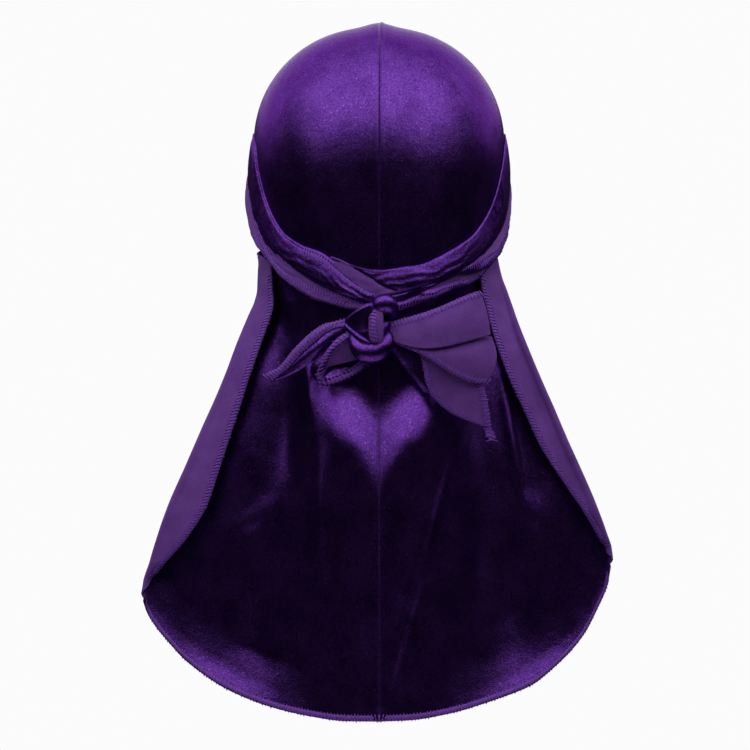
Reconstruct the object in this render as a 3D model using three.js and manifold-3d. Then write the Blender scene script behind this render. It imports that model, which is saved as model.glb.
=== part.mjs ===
// A velvet durag, tied on a head. Two cloth panels, each half of the crown and half of the tail, meet at a
// centre seam. A long tie leaves each temple, crosses the other at the nape, goes round the forehead and
// comes back to a knot at the nape, and its free end hangs over the tail.
// Millimetres. +Z is up, the wearer faces +Y, and the knot and the tail are at -Y.
// The origin is the middle of the ring that the ties grip on the head.
import * as THREE from "three";
import { mergeVertices } from "three/addons/utils/BufferGeometryUtils.js";
import Module from "manifold-3d";

const wasm = await Module();
wasm.setup();

// Cloth
const clothThickness = 1.4;
const tieThickness = 1.1;
const hemThickness = 0.5; // what the overlocked edge adds to the cloth
const pieceGap = 0.4; // clearance between pieces that lie on each other
const seamGap = 0.3; // clearance between the two panels along the centre seam

// Crown: the outer face of the cloth, stretched over the head
const crownHalfWidth = 80.2;
const crownHalfLength = 97;
const crownHeight = 86; // from the widest level up to the top
const widestLevel = 24; // height of the widest level
const crownRoundness = 2.2; // exponent of the arch, 2 for an ellipse
const napeNarrowing = 0.15; // share by which the head is narrower at the nape level
const napeDrop = 88; // from the widest level down to the nape level
const napeCurve = 1.4; // exponent of the narrowing
const seamPeakHeight = 2.4; // how far the cloth stands off along the centre seam
const seamPeakWidth = 9;

// Ring of the ties: a tilted plane, low at the nape and high at the forehead
const ringMiddle = 8;
const ringTilt = 55; // rise from the side of the head to the forehead, and drop to the nape
const rimDrop = 20; // from the ring's plane down to the crown's edge
const tieWidth = 50; // full width of a tie where it leaves the crown
const tieBite = 3; // how far the ties press the crown in at the sides
const knotLevel = -75; // height of the knot's middle
const knotTurn = -4; // degrees round from the centre seam

// Tail
const tailTurn = 80; // degrees round from the seam to where the tail leaves the head
const earFlapTurn = -97; // the left panel dips below the ties in front of the tail
const earFlapSpread = 12; // degrees
const earFlapDrop = 44;
const earFlapFlare = 0.12; // how far it stands off the head, for each millimetre below the crown's edge
const tailDrop = 246; // from the crown's edge at the nape down to the middle of the hem
const tailHalfWidth = 144; // at the corners
const leftCornerLevel = -243;
const rightCornerLevel = -222;
const tailSweep = 22; // how far the hem swings out behind the nape
const tailWrap = 44; // how far the sides come forward of the middle
const rollRadius = 4; // of the curled side edges, at the pile face
const rollReach = 1.6; // shares of rollRadius that a curl reaches past its start
const rollLean = 1.2; // shares of rollRadius that a curl's far side lies outside its start
const rollWidth = 20; // how much of the wrong side a curled edge shows

const degree = Math.PI / 180;

// A row for each level of the tail's sides: share of the drop from crown edge to corner, half widths as
// shares of tailHalfWidth, and widths of the curled edges as shares of rollWidth.
const tailOutline = [
  { drop: 0.0, left: 0.5, right: 0.49, rollLeft: 0.4, rollRight: 0.4 },
  { drop: 0.06, left: 0.515, right: 0.505, rollLeft: 0.5, rollRight: 0.6 },
  { drop: 0.12, left: 0.518, right: 0.523, rollLeft: 0.55, rollRight: 0.73 },
  { drop: 0.155, left: 0.53, right: 0.541, rollLeft: 0.66, rollRight: 0.82 },
  { drop: 0.195, left: 0.556, right: 0.56, rollLeft: 0.76, rollRight: 0.85 },
  { drop: 0.27, left: 0.602, right: 0.596, rollLeft: 0.79, rollRight: 0.91 },
  { drop: 0.35, left: 0.646, right: 0.64, rollLeft: 0.8, rollRight: 0.97 },
  { drop: 0.435, left: 0.699, right: 0.69, rollLeft: 0.88, rollRight: 1.0 },
  { drop: 0.52, left: 0.757, right: 0.743, rollLeft: 0.98, rollRight: 0.98 },
  { drop: 0.62, left: 0.822, right: 0.803, rollLeft: 1.08, rollRight: 0.95 },
  { drop: 0.725, left: 0.893, right: 0.87, rollLeft: 1.2, rollRight: 0.77 },
  { drop: 0.82, left: 0.944, right: 0.927, rollLeft: 0.94, rollRight: 0.52 },
  { drop: 0.9, left: 0.98, right: 0.965, rollLeft: 0.45, rollRight: 0.3 },
  { drop: 0.95, left: 1.0, right: 0.985, rollLeft: 0.14, rollRight: 0.1 },
  { drop: 1.0, left: 1.015, right: 0.99, rollLeft: 0.0, rollRight: 0.0 },
];

// A row for each point of the hem: share of the half width out from the seam, and share of the height
// between the corner and the middle of the hem, on the left and on the right.
const hemOutline = [
  { across: 0.0, left: 1.0, right: 1.0 },
  { across: 0.13, left: 0.998, right: 0.992 },
  { across: 0.3, left: 0.955, right: 0.951 },
  { across: 0.48, left: 0.872, right: 0.876 },
  { across: 0.65, left: 0.732, right: 0.78 },
  { across: 0.75, left: 0.61, right: 0.668 },
  { across: 0.83, left: 0.484, right: 0.554 },
  { across: 0.89, left: 0.355, right: 0.437 },
  { across: 0.94, left: 0.238, right: 0.292 },
  { across: 0.98, left: 0.115, right: 0.155 },
  { across: 1.0, left: 0.0, right: 0.0 },
];

// A row for each soft fold of the tail: share of the half width from the seam (negative on the left), its
// half width as such a share, its rise towards -Y in shares of tailSweep, and the shares of the drop where
// it is highest and over which it fades.
const tailFolds = [
  { across: -0.2, spread: 0.17, rise: 0.36, at: 0.34, fade: 0.17 },
  { across: 0.2, spread: 0.15, rise: 0.34, at: 0.33, fade: 0.15 },
  { across: -0.5, spread: 0.09, rise: 0.26, at: 0.3, fade: 0.28 },
  { across: 0.5, spread: 0.08, rise: 0.24, at: 0.36, fade: 0.3 },
  { across: 0.0, spread: 0.09, rise: -0.25, at: 0.22, fade: 0.14 },
  { across: -0.35, spread: 0.08, rise: -0.2, at: 0.3, fade: 0.26 },
  { across: 0.36, spread: 0.08, rise: -0.2, at: 0.38, fade: 0.28 },
  { across: 0.11, spread: 0.05, rise: 0.16, at: 0.72, fade: 0.22 },
  { across: -0.62, spread: 0.14, rise: -0.22, at: 0.66, fade: 0.2 },
  { across: 0.66, spread: 0.14, rise: -0.22, at: 0.72, fade: 0.2 },
  { across: -0.5, spread: 0.5, rise: 0.3, at: 0.98, fade: 0.16 },
  { across: 0.55, spread: 0.4, rise: 0.3, at: 0.98, fade: 0.14 },
];

// A row for each gather of the crown beside a tie: degrees round from the seam, its half width in degrees,
// its rise in shares of tieThickness, and the shares of crownHeight where it is highest and fades.
const crownGathers = [
  { turn: 74, spread: 3.5, rise: 0.9, at: 0.24, fade: 0.3 },
  { turn: 64, spread: 4, rise: -0.7, at: 0.16, fade: 0.26 },
  { turn: 56, spread: 4, rise: 0.6, at: 0.05, fade: 0.22 },
  { turn: -72, spread: 4, rise: 0.5, at: 0.2, fade: 0.24 },
];

// A row for each place along a tie: degrees travelled round the head, counted from the nape, shift of its
// middle off the ring's plane and its width in shares of tieWidth, and the layer that it lies in.
const tieLeftRoute = [
  { turn: -112, shift: 0.04, width: 0.7, layer: 0 },
  { turn: -96, shift: 0.08, width: 0.8, layer: 0 },
  { turn: -79, shift: 0.12, width: 0.6, layer: 0 },
  { turn: -62, shift: 0.09, width: 0.35, layer: 0 },
  { turn: -45, shift: 0.06, width: 0.27, layer: 0 },
  { turn: -21, shift: 0.02, width: 0.25, layer: 1 },
  { turn: 0, shift: -0.06, width: 0.29, layer: 1 },
  { turn: 24, shift: -0.2, width: 0.26, layer: 1 },
  { turn: 45, shift: -0.24, width: 0.26, layer: 1 },
  { turn: 66, shift: -0.18, width: 0.36, layer: 1 },
  { turn: 84, shift: -0.1, width: 0.48, layer: 1 },
  { turn: 120, shift: 0.12, width: 0.42, layer: 1 },
  { turn: 150, shift: 0.21, width: 0.34, layer: 1 },
  { turn: 180, shift: 0.22, width: 0.34, layer: 1 },
  { turn: 205, shift: 0.21, width: 0.34, layer: 2 },
  { turn: 240, shift: 0.08, width: 0.4, layer: 2 },
  { turn: 276, shift: -0.06, width: 0.42, layer: 2 },
  { turn: 300, shift: -0.16, width: 0.34, layer: 2.4 },
  { turn: 320, shift: -0.22, width: 0.28, layer: 2 },
  { turn: 338, shift: -0.26, width: 0.24, layer: 2 },
  { turn: 352, shift: -0.26, width: 0.16, layer: 2 },
];
const tieRightRoute = [
  { turn: -112, shift: 0.04, width: 0.72, layer: 0 },
  { turn: -96, shift: 0.1, width: 0.84, layer: 0 },
  { turn: -79, shift: 0.14, width: 0.7, layer: 0 },
  { turn: -62, shift: 0.08, width: 0.42, layer: 0 },
  { turn: -45, shift: 0.04, width: 0.32, layer: 0 },
  { turn: -24, shift: 0.0, width: 0.26, layer: 0 },
  { turn: 0, shift: -0.05, width: 0.28, layer: 0 },
  { turn: 24, shift: -0.25, width: 0.22, layer: 0 },
  { turn: 40, shift: -0.28, width: 0.22, layer: 0.3 },
  { turn: 56, shift: -0.24, width: 0.28, layer: 1 },
  { turn: 84, shift: -0.02, width: 0.56, layer: 1 },
  { turn: 120, shift: -0.1, width: 0.5, layer: 1 },
  { turn: 150, shift: -0.21, width: 0.34, layer: 1 },
  { turn: 180, shift: -0.22, width: 0.34, layer: 1 },
  { turn: 205, shift: -0.21, width: 0.34, layer: 2 },
  { turn: 240, shift: -0.1, width: 0.4, layer: 2 },
  { turn: 276, shift: -0.04, width: 0.44, layer: 2.3 },
  { turn: 300, shift: -0.15, width: 0.34, layer: 3 },
  { turn: 320, shift: -0.2, width: 0.26, layer: 2 },
  { turn: 338, shift: -0.24, width: 0.22, layer: 2 },
  { turn: 355, shift: -0.26, width: 0.16, layer: 2 },
];
const tieStep = 7; // degrees round the head between two sections of a tie
const tiePleats = 2; // lengthwise pleats across a tie
const pleatRise = 0.35; // share of tieThickness by which a pleat stands proud

// The knot's strands and the free ends, in shares of knotSize: right, up and out from the knot's middle,
// width and thickness of the strand there, and roll, the degrees that its flat face turns.
const knotSize = 31;
const knotStandoff = 4.4; // from the outermost tie to the knot's middle
const knotStrands = {
  core: [
    { right: -0.46, up: 0.06, out: -0.08, width: 0.3, thick: 0.16, roll: 0 },
    { right: -0.24, up: 0.0, out: 0.12, width: 0.6, thick: 0.26, roll: 0 },
    { right: 0.02, up: -0.02, out: 0.12, width: 0.62, thick: 0.34, roll: 0 },
    { right: 0.24, up: 0.04, out: 0.06, width: 0.44, thick: 0.26, roll: 0 },
    { right: 0.44, up: 0.06, out: -0.04, width: 0.32, thick: 0.16, roll: 0 },
  ],
  collar: [
    { right: 0.14, up: 0.34, out: -0.12, width: 0.26, thick: 0.12, roll: 0 },
    { right: 0.13, up: 0.38, out: 0.14, width: 0.28, thick: 0.14, roll: 0 },
    { right: 0.14, up: 0.2, out: 0.34, width: 0.28, thick: 0.14, roll: 0 },
    { right: 0.16, up: -0.1, out: 0.38, width: 0.28, thick: 0.14, roll: 0 },
    { right: 0.14, up: -0.34, out: 0.26, width: 0.28, thick: 0.14, roll: 0 },
    { right: 0.1, up: -0.42, out: 0.02, width: 0.26, thick: 0.12, roll: 0 },
  ],
  bulge: [
    { right: -0.34, up: -0.1, out: 0.02, width: 0.26, thick: 0.2, roll: 0 },
    { right: -0.22, up: -0.36, out: 0.14, width: 0.28, thick: 0.26, roll: 0 },
    { right: 0.0, up: -0.48, out: 0.16, width: 0.3, thick: 0.28, roll: 0 },
    { right: 0.2, up: -0.36, out: 0.1, width: 0.28, thick: 0.24, roll: 0 },
    { right: 0.28, up: -0.1, out: 0.0, width: 0.24, thick: 0.18, roll: 0 },
  ],
  loop: [
    { right: 0.12, up: 0.2, out: 0.08, width: 0.2, thick: 0.16, roll: 0 },
    { right: 0.18, up: 0.48, out: 0.14, width: 0.22, thick: 0.18, roll: 0 },
    { right: 0.34, up: 0.56, out: 0.12, width: 0.24, thick: 0.18, roll: 0 },
    { right: 0.46, up: 0.4, out: 0.04, width: 0.24, thick: 0.18, roll: 0 },
    { right: 0.4, up: 0.18, out: 0.0, width: 0.22, thick: 0.14, roll: 0 },
  ],
};
// The left tie's free end: a narrow folded strip, and a fold of the same cloth that comes back to the knot.
const leftEndStrands = {
  strip: [
    { right: -0.3, up: 0.04, out: 0.06, width: 0.22, thick: 0.1, roll: 0 },
    { right: -0.56, up: -0.03, out: 0.12, width: 0.26, thick: 0.1, roll: 8 },
    { right: -0.84, up: -0.13, out: 0.1, width: 0.32, thick: 0.1, roll: 12 },
    { right: -1.22, up: -0.4, out: -0.02, width: 0.38, thick: 0.1, roll: 12 },
    { right: -1.62, up: -0.74, out: -0.2, width: 0.33, thick: 0.1, roll: 8 },
    { right: -1.98, up: -1.06, out: -0.36, width: 0.14, thick: 0.08, roll: 0 },
  ],
  foldFront: [
    { right: -0.3, up: -0.12, out: 0.08, width: 0.3, thick: 0.1, roll: 0 },
    { right: -0.58, up: -0.27, out: 0.13, width: 0.4, thick: 0.1, roll: 0 },
    { right: -0.84, up: -0.58, out: 0.13, width: 0.44, thick: 0.1, roll: 0 },
    { right: -0.94, up: -0.88, out: 0.06, width: 0.3, thick: 0.1, roll: 0 },
    { right: -0.95, up: -1.06, out: 0.0, width: 0.14, thick: 0.09, roll: 0 },
  ],
  foldBack: [
    { right: -0.99, up: -0.9, out: 0.02, width: 0.2, thick: 0.1, roll: 0 },
    { right: -0.8, up: -0.95, out: -0.03, width: 0.3, thick: 0.1, roll: 0 },
    { right: -0.58, up: -0.82, out: -0.06, width: 0.36, thick: 0.1, roll: 0 },
    { right: -0.34, up: -0.56, out: -0.05, width: 0.28, thick: 0.1, roll: 0 },
  ],
};

// The right tie's free end, in shares of knotSize from the knot's middle. Rows run from the knot outwards:
// the heights of the upper hem, of the crease and of the lower hem, and how far the cloth below the crease
// swells to the right.
const rightEndUpper = [
  { right: 0.3, hem: 0.12, crease: -0.2, lower: -0.36, swell: 0, out: 0.04 },
  { right: 0.56, hem: 0.14, crease: -0.28, lower: -0.42, swell: 0, out: 0.14 },
  { right: 0.86, hem: 0.21, crease: -0.38, lower: -0.54, swell: 0, out: 0.18 },
  { right: 1.4, hem: 0.41, crease: -0.42, lower: -0.74, swell: 0, out: 0.16 },
  { right: 1.88, hem: 0.58, crease: -0.32, lower: -0.95, swell: 0.04, out: 0.1 },
  { right: 2.22, hem: 0.72, crease: -0.18, lower: -1.18, swell: 0.26, out: 0.02 },
];
// Its lower layer, a row for each level: the left and right edges.
const rightEndLower = [
  { up: -0.34, left: 0.5, right: 2.1, out: 0.1 },
  { up: -0.56, left: 0.62, right: 2.2, out: 0.03 },
  { up: -1.02, left: 0.86, right: 2.32, out: 0.0 },
  { up: -1.38, left: 1.24, right: 2.38, out: -0.02 },
  { up: -1.64, left: 1.6, right: 2.4, out: -0.06 },
  { up: -1.86, left: 2.0, right: 2.42, out: -0.1 },
  { up: -2.06, left: 2.36, right: 2.46, out: -0.12 },
];
// Across the upper layer: share of the way from the hem to the crease, or past 1 from the crease to the
// lower hem, and how far it stands out from the row's own place, in shares of knotSize.
const rightEndSection = [
  { way: 0, out: 0 },
  { way: 0.3, out: 0.05 },
  { way: 0.7, out: 0.09 },
  { way: 1, out: 0.1 },
  { way: 1.08, out: 0.0 },
  { way: 1.3, out: 0.02 },
  { way: 1.65, out: 0.07 },
  { way: 2, out: 0.02 },
];
const rightEndColumns = 5; // across the lower layer
const endClearance = 1.06; // the knot's growth about its middle that the free ends stay clear of
const strandStep = 3; // sections between two rows of a strand
const strandSides = 10;
const joinTolerance = 0.05; // finest detail kept where strands are joined

// Smooth value between the rows of a table: rows[key] against rows[along], by a Hermite curve whose
// slopes never overshoot the rows.
function between(rows, along, key, where) {
  const last = rows.length - 1;
  if (where <= rows[0][along]) return rows[0][key];
  if (where >= rows[last][along]) return rows[last][key];
  let i = 0;
  while (rows[i + 1][along] < where) i += 1;
  const slope = (n) =>
    (rows[n + 1][key] - rows[n][key]) / (rows[n + 1][along] - rows[n][along]);
  const tangent = (n) => {
    if (n === 0 || n === last) return slope(Math.min(n, last - 1));
    const before = slope(n - 1);
    const after = slope(n);
    return before * after <= 0 ? 0 : (2 * before * after) / (before + after);
  };
  const span = rows[i + 1][along] - rows[i][along];
  const t = (where - rows[i][along]) / span;
  const t2 = t * t;
  const t3 = t2 * t;
  return (
    (2 * t3 - 3 * t2 + 1) * rows[i][key] +
    (t3 - 2 * t2 + t) * span * tangent(i) +
    (3 * t2 - 2 * t3) * rows[i + 1][key] +
    (t3 - t2) * span * tangent(i + 1)
  );
}

const bell = (x) => Math.exp(-x * x);
const mix = (a, b, t) => a + (b - a) * t;

function smooth(low, high, x) {
  const t = Math.min(1, Math.max(0, (x - low) / (high - low)));
  return t * t * (3 - 2 * t);
}

// Head

// Share of the crown's half width and half length that is left at a height.
function girth(z) {
  const rise = (z - widestLevel) / crownHeight;
  if (rise >= 1) return 0;
  if (rise > 0) return (1 - rise ** crownRoundness) ** (1 / crownRoundness);
  return 1 - napeNarrowing * ((widestLevel - z) / napeDrop) ** napeCurve;
}

const ringLevel = (turn) => ringMiddle - ringTilt * Math.cos(turn * degree);

// The point on the outer face of the stretched cloth, at degrees round from the nape and a height.
function stretched(turn, z) {
  const pressed = 1 - smooth(0, 1.4 * tieWidth, z - ringLevel(turn));
  const share = girth(z) - (tieBite / crownHalfWidth) * pressed * Math.sin(turn * degree) ** 2;
  const x = crownHalfWidth * share * Math.sin(turn * degree);
  const y = -crownHalfLength * share * Math.cos(turn * degree);
  return new THREE.Vector3(x, y, z);
}

// That point lifted off the face along its normal.
function onHead(turn, z, lift = 0) {
  const point = stretched(turn, z);
  if (girth(z) < 1e-3) return point.setZ(z + lift);
  const step = 0.4;
  const top = widestLevel + crownHeight;
  const round = stretched(turn + step, z).sub(stretched(turn - step, z));
  const rise = stretched(turn, Math.min(z + step, top)).sub(stretched(turn, z - step));
  return point.addScaledVector(round.cross(rise).normalize(), lift);
}

const earFlap = (turn) => bell((turn - earFlapTurn) / earFlapSpread);
const rimLevel = (turn) => ringLevel(turn) - rimDrop - earFlapDrop * earFlap(turn);

// How far the crown's cloth stands off the head at a place: the peak along the seam, and the gathers.
function crownRelief(turn, z) {
  const share = girth(z);
  const x = crownHalfWidth * share * Math.sin(turn * degree);
  const top = widestLevel + crownHeight;
  const clearOfTies = smooth(0.75 * tieWidth, 1.2 * tieWidth, z - ringLevel(turn));
  let lift = seamPeakHeight * bell(x / seamPeakWidth) * smooth(ringMiddle, top, z) * clearOfTies;
  lift += earFlapFlare * earFlap(turn) * Math.max(0, ringLevel(turn) - 1.4 * rimDrop - z);
  for (const gather of crownGathers) {
    const side = (turn - gather.turn) / gather.spread;
    const height = ((z - ringMiddle) / crownHeight - gather.at) / gather.fade;
    lift += gather.rise * tieThickness * bell(side) * bell(height) * clearOfTies;
  }
  return lift;
}

// Solids from sheets and rings

// A closed solid from a sheet's outer points and inner points and the faces between them. Faces run anticlockwise
// seen from outside, and the sheet's free edges are closed by a wall.
function thickened(outer, inner, faces) {
  const count = outer.length;
  const index = [];
  const edges = new Map();
  for (const [a, b, c] of faces) {
    index.push(a, b, c, count + a, count + c, count + b);
    for (const [from, to] of [[a, b], [b, c], [c, a]]) edges.set(from + "_" + to, [from, to]);
  }
  for (const [from, to] of edges.values()) {
    if (edges.has(to + "_" + from)) continue;
    index.push(to, from, count + from, to, count + from, count + to);
  }
  const points = [...outer, ...inner].flatMap((p) => [p.x, p.y, p.z]);
  return new THREE.BufferGeometry()
    .setAttribute("position", new THREE.Float32BufferAttribute(points, 3))
    .setIndex(index);
}

// A closed solid through rings of points, each ring running the same way round.
function lofted(rings) {
  const sides = rings[0].length;
  const points = rings.flat();
  const index = [];
  rings.slice(1).forEach((_, r) => {
    for (let s = 0; s < sides; s += 1) {
      const a = r * sides + s;
      const b = r * sides + ((s + 1) % sides);
      index.push(a, b, b + sides, a, b + sides, a + sides);
    }
  });
  for (const [ring, turned] of [[0, true], [rings.length - 1, false]]) {
    const middle = new THREE.Vector3();
    rings[ring].forEach((p) => middle.addScaledVector(p, 1 / sides));
    points.push(middle);
    for (let s = 0; s < sides; s += 1) {
      const a = ring * sides + s;
      const b = ring * sides + ((s + 1) % sides);
      index.push(...(turned ? [b, a] : [a, b]), points.length - 1);
    }
  }
  const geometry = new THREE.BufferGeometry().setIndex(index);
  return geometry.setAttribute(
    "position",
    new THREE.Float32BufferAttribute(points.flatMap((p) => [p.x, p.y, p.z]), 3),
  );
}

// manifold-3d's solid of a closed geometry, facing out.
function solidOf(geometry) {
  const bare = mergeVertices(geometry.clone());
  const make = () =>
    new wasm.Manifold(
      new wasm.Mesh({
        numProp: 3,
        vertProperties: new Float32Array(bare.attributes.position.array),
        triVerts: new Uint32Array(bare.index.array),
      }),
    );
  const made = make();
  if (made.volume() >= 0) return made;
  const turned = bare.index.array;
  for (let i = 0; i < turned.length; i += 3) [turned[i + 1], turned[i + 2]] = [turned[i + 2], turned[i + 1]];
  return make();
}

function geometryOf(solid) {
  const mesh = solid.simplify(joinTolerance).getMesh();
  const geometry = new THREE.BufferGeometry();
  geometry.setAttribute("position", new THREE.BufferAttribute(mesh.vertProperties, 3));
  return geometry.setIndex(new THREE.BufferAttribute(mesh.triVerts, 1));
}

const fused = (geometries) => geometryOf(geometries.map(solidOf).reduce((all, next) => all.add(next)));

// Panels

const crownRows = 12;
const frontColumns = 12; // between the tail and the forehead
const tailColumns = 10; // between the seam and the curled edge
const tailRows = 17;
const curlColumns = 5;
const flatColumns = 2;

// Share of the tail's half width at a column: closer together towards the edge.
const columnShare = (column) => 1 - (1 - column / tailColumns) ** 1.3;

// Degrees round the head of a panel's crown columns: the first ones line up with the tail's columns.
const columnTurn = (column) =>
  column <= tailColumns
    ? tailTurn * columnShare(column)
    : mix(tailTurn, 180, (column - tailColumns) / frontColumns);

// A point on the crown, at a column and a share of the way from the top to the crown's edge.
function crownPoint(side, turn, share) {
  const rim = rimLevel(side * turn);
  const top = widestLevel + crownHeight;
  const rimAngle =
    rim > widestLevel
      ? Math.acos(((rim - widestLevel) / crownHeight) ** (crownRoundness / 2))
      : Math.PI / 2 + (widestLevel - rim) / crownHeight;
  const angle = share * rimAngle;
  const z =
    angle < Math.PI / 2
      ? widestLevel + crownHeight * Math.cos(angle) ** (2 / crownRoundness)
      : widestLevel - (angle - Math.PI / 2) * crownHeight;
  const level = share === 0 ? top : z;
  return onHead(side * turn, level, crownRelief(side * turn, Math.min(level, top - 0.01)));
}

// Half width of the tail where its edge starts to curl, and the height of the hem.
const tailHalf = (side, down) =>
  tailHalfWidth * between(tailOutline, "drop", side < 0 ? "left" : "right", down) - curlRoom(side, down);
const hemLevel = (side, across) =>
  mix(
    side < 0 ? leftCornerLevel : rightCornerLevel,
    rimLevel(0) - tailDrop,
    between(hemOutline, "across", side < 0 ? "left" : "right", across),
  );

// A point on the tail's pile face: across is the share from the seam to where the edge curls, down is the
// share from the crown's edge to the hem.
function tailPoint(side, across, down) {
  const turn = tailTurn * across;
  const start = onHead(side * turn, rimLevel(side * turn));
  const z = mix(start.z, hemLevel(side, across), down);
  const round = Math.sin(turn * degree) / Math.sin(tailTurn * degree);
  const hanging = smooth(0, 0.34, down);
  const x = tailHalf(side, down) * mix(round, across, hanging);
  const nape = onHead(0, rimLevel(0)).y;
  const sweep = tailSweep * Math.sin((Math.PI / 2) * Math.min(1, down * 1.1));
  const hung = nape - sweep + tailWrap * across ** 2 * mix(1, 0.8, down);
  let y = mix(start.y, hung, hanging);
  for (const fold of tailFolds) {
    const offset = (side * across - fold.across) / fold.spread;
    y -= fold.rise * tailSweep * bell(offset) * bell((down - fold.at) / fold.fade) * smooth(0, 0.1, down);
  }
  return new THREE.Vector3(side * x, y, z);
}

// A point on the tail at a distance from the seam, level with the tail's edge at a share of the way down.
function besideEdge(side, distance, down) {
  const edge = tailPoint(side, 1, down);
  let across = distance / (side * edge.x);
  let share = down;
  for (let step = 0; step < 3; step += 1) {
    const rim = rimLevel(side * tailTurn * across);
    share = (rim - edge.z) / (rim - hemLevel(side, across));
    across = distance / tailHalf(side, share);
  }
  return tailPoint(side, across, share).setX(side * distance).setZ(edge.z);
}

const curlRoom = (side, down) => (rollReach * rollRadius + clothThickness) * curlShare(side, down);
const rollOf = (side, down) =>
  rollWidth * between(tailOutline, "drop", side < 0 ? "rollLeft" : "rollRight", down);
const curlShare = (side, down) => Math.min(1, rollOf(side, down) / (0.5 * rollWidth));

// A point on the curled edge, at a length of cloth past where the curl starts. Past the curl, the cloth lies
// back over the tail.
function curlPoint(side, down, length) {
  const radius = Math.max(0.8, rollRadius * curlShare(side, down));
  const bent = Math.min(length, Math.PI * radius);
  const distance = side * tailPoint(side, 1, down).x - (length - bent);
  const slope = (2 * tailWrap * distance) / (side * tailPoint(side, 1, down).x) ** 2;
  const away = new THREE.Vector3(side, slope, 0).normalize();
  const towards = new THREE.Vector3(side * away.y, -side * away.x, 0);
  const angle = bent / radius;
  return besideEdge(side, distance, down)
    .addScaledVector(away, radius * Math.sin(angle))
    .addScaledVector(towards, radius * (1 - Math.cos(angle)));
}

function panel(side) {
  const outer = [];
  const faces = [];
  const quad = (a, b, c, d) =>
    side > 0 ? faces.push([a, b, c], [a, c, d]) : faces.push([c, b, a], [d, c, a]);
  const columns = tailColumns + frontColumns;
  const onSeam = new Set([0]);
  const onHem = new Set();
  outer.push(crownPoint(side, 0, 0));
  for (let row = 1; row <= crownRows; row += 1) {
    for (let column = 0; column <= columns; column += 1) {
      if (column === 0 || column === columns) onSeam.add(outer.length);
      if (row === crownRows && column > tailColumns) onHem.add(outer.length);
      outer.push(crownPoint(side, columnTurn(column), row / crownRows));
    }
  }
  const crownIndex = (row, column) => (row === 0 ? 0 : 1 + (row - 1) * (columns + 1) + column);
  for (let column = 0; column < columns; column += 1) {
    const tip = [0, crownIndex(1, column), crownIndex(1, column + 1)];
    faces.push(side > 0 ? tip : tip.reverse());
    for (let row = 1; row < crownRows; row += 1) {
      quad(
        crownIndex(row, column),
        crownIndex(row + 1, column),
        crownIndex(row + 1, column + 1),
        crownIndex(row, column + 1),
      );
    }
  }
  const edgeColumns = tailColumns + curlColumns + flatColumns;
  const tailStart = outer.length;
  for (let row = 1; row <= tailRows; row += 1) {
    const down = (row / tailRows) ** 1.1;
    const radius = Math.max(0.8, rollRadius * curlShare(side, down));
    const curl = Math.PI * radius;
    for (let column = 0; column <= edgeColumns; column += 1) {
      if (column === 0) onSeam.add(outer.length);
      if (row === tailRows || column === edgeColumns) onHem.add(outer.length);
      if (column <= tailColumns) {
        outer.push(tailPoint(side, columnShare(column), down));
        continue;
      }
      const shown = rollOf(side, down) - curlRoom(side, down) + rollLean * radius;
      const cloth = Math.max(0.25 * (edgeColumns - tailColumns), curl + shown);
      const bent = Math.min(cloth, curl);
      const step = column - tailColumns;
      const length =
        step <= curlColumns
          ? (bent * step) / (curlColumns + (cloth > curl ? 0 : flatColumns))
          : cloth > curl
            ? mix(curl, cloth, (step - curlColumns) / flatColumns)
            : (bent * step) / (curlColumns + flatColumns);
      outer.push(curlPoint(side, down, length));
    }
  }
  const tailIndex = (row, column) =>
    row === 0 ? crownIndex(crownRows, column) : tailStart + (row - 1) * (edgeColumns + 1) + column;
  for (let row = 0; row < tailRows; row += 1) {
    for (let column = 0; column < (row === 0 ? tailColumns : edgeColumns); column += 1) {
      quad(
        tailIndex(row, column),
        tailIndex(row + 1, column),
        tailIndex(row + 1, column + 1),
        tailIndex(row, column + 1),
      );
    }
  }
  const sheet = new THREE.BufferGeometry()
    .setAttribute("position", new THREE.Float32BufferAttribute(outer.flatMap((p) => [p.x, p.y, p.z]), 3))
    .setIndex(faces.flat());
  sheet.computeVertexNormals();
  const normals = sheet.attributes.normal;
  const inner = outer.map((point, i) => {
    const normal = new THREE.Vector3().fromBufferAttribute(normals, i);
    if (onSeam.has(i)) normal.setX(0).normalize();
    return point.clone().addScaledVector(normal, -clothThickness - (onHem.has(i) ? hemThickness : 0));
  });
  const halfGap = (side * seamGap) / 2;
  const clearOfSeam = (p) => p.setX(side * Math.max(side * p.x, side * halfGap));
  return thickened(outer.map(clearOfSeam), inner.map(clearOfSeam), faces);
}

// Ties

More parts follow.
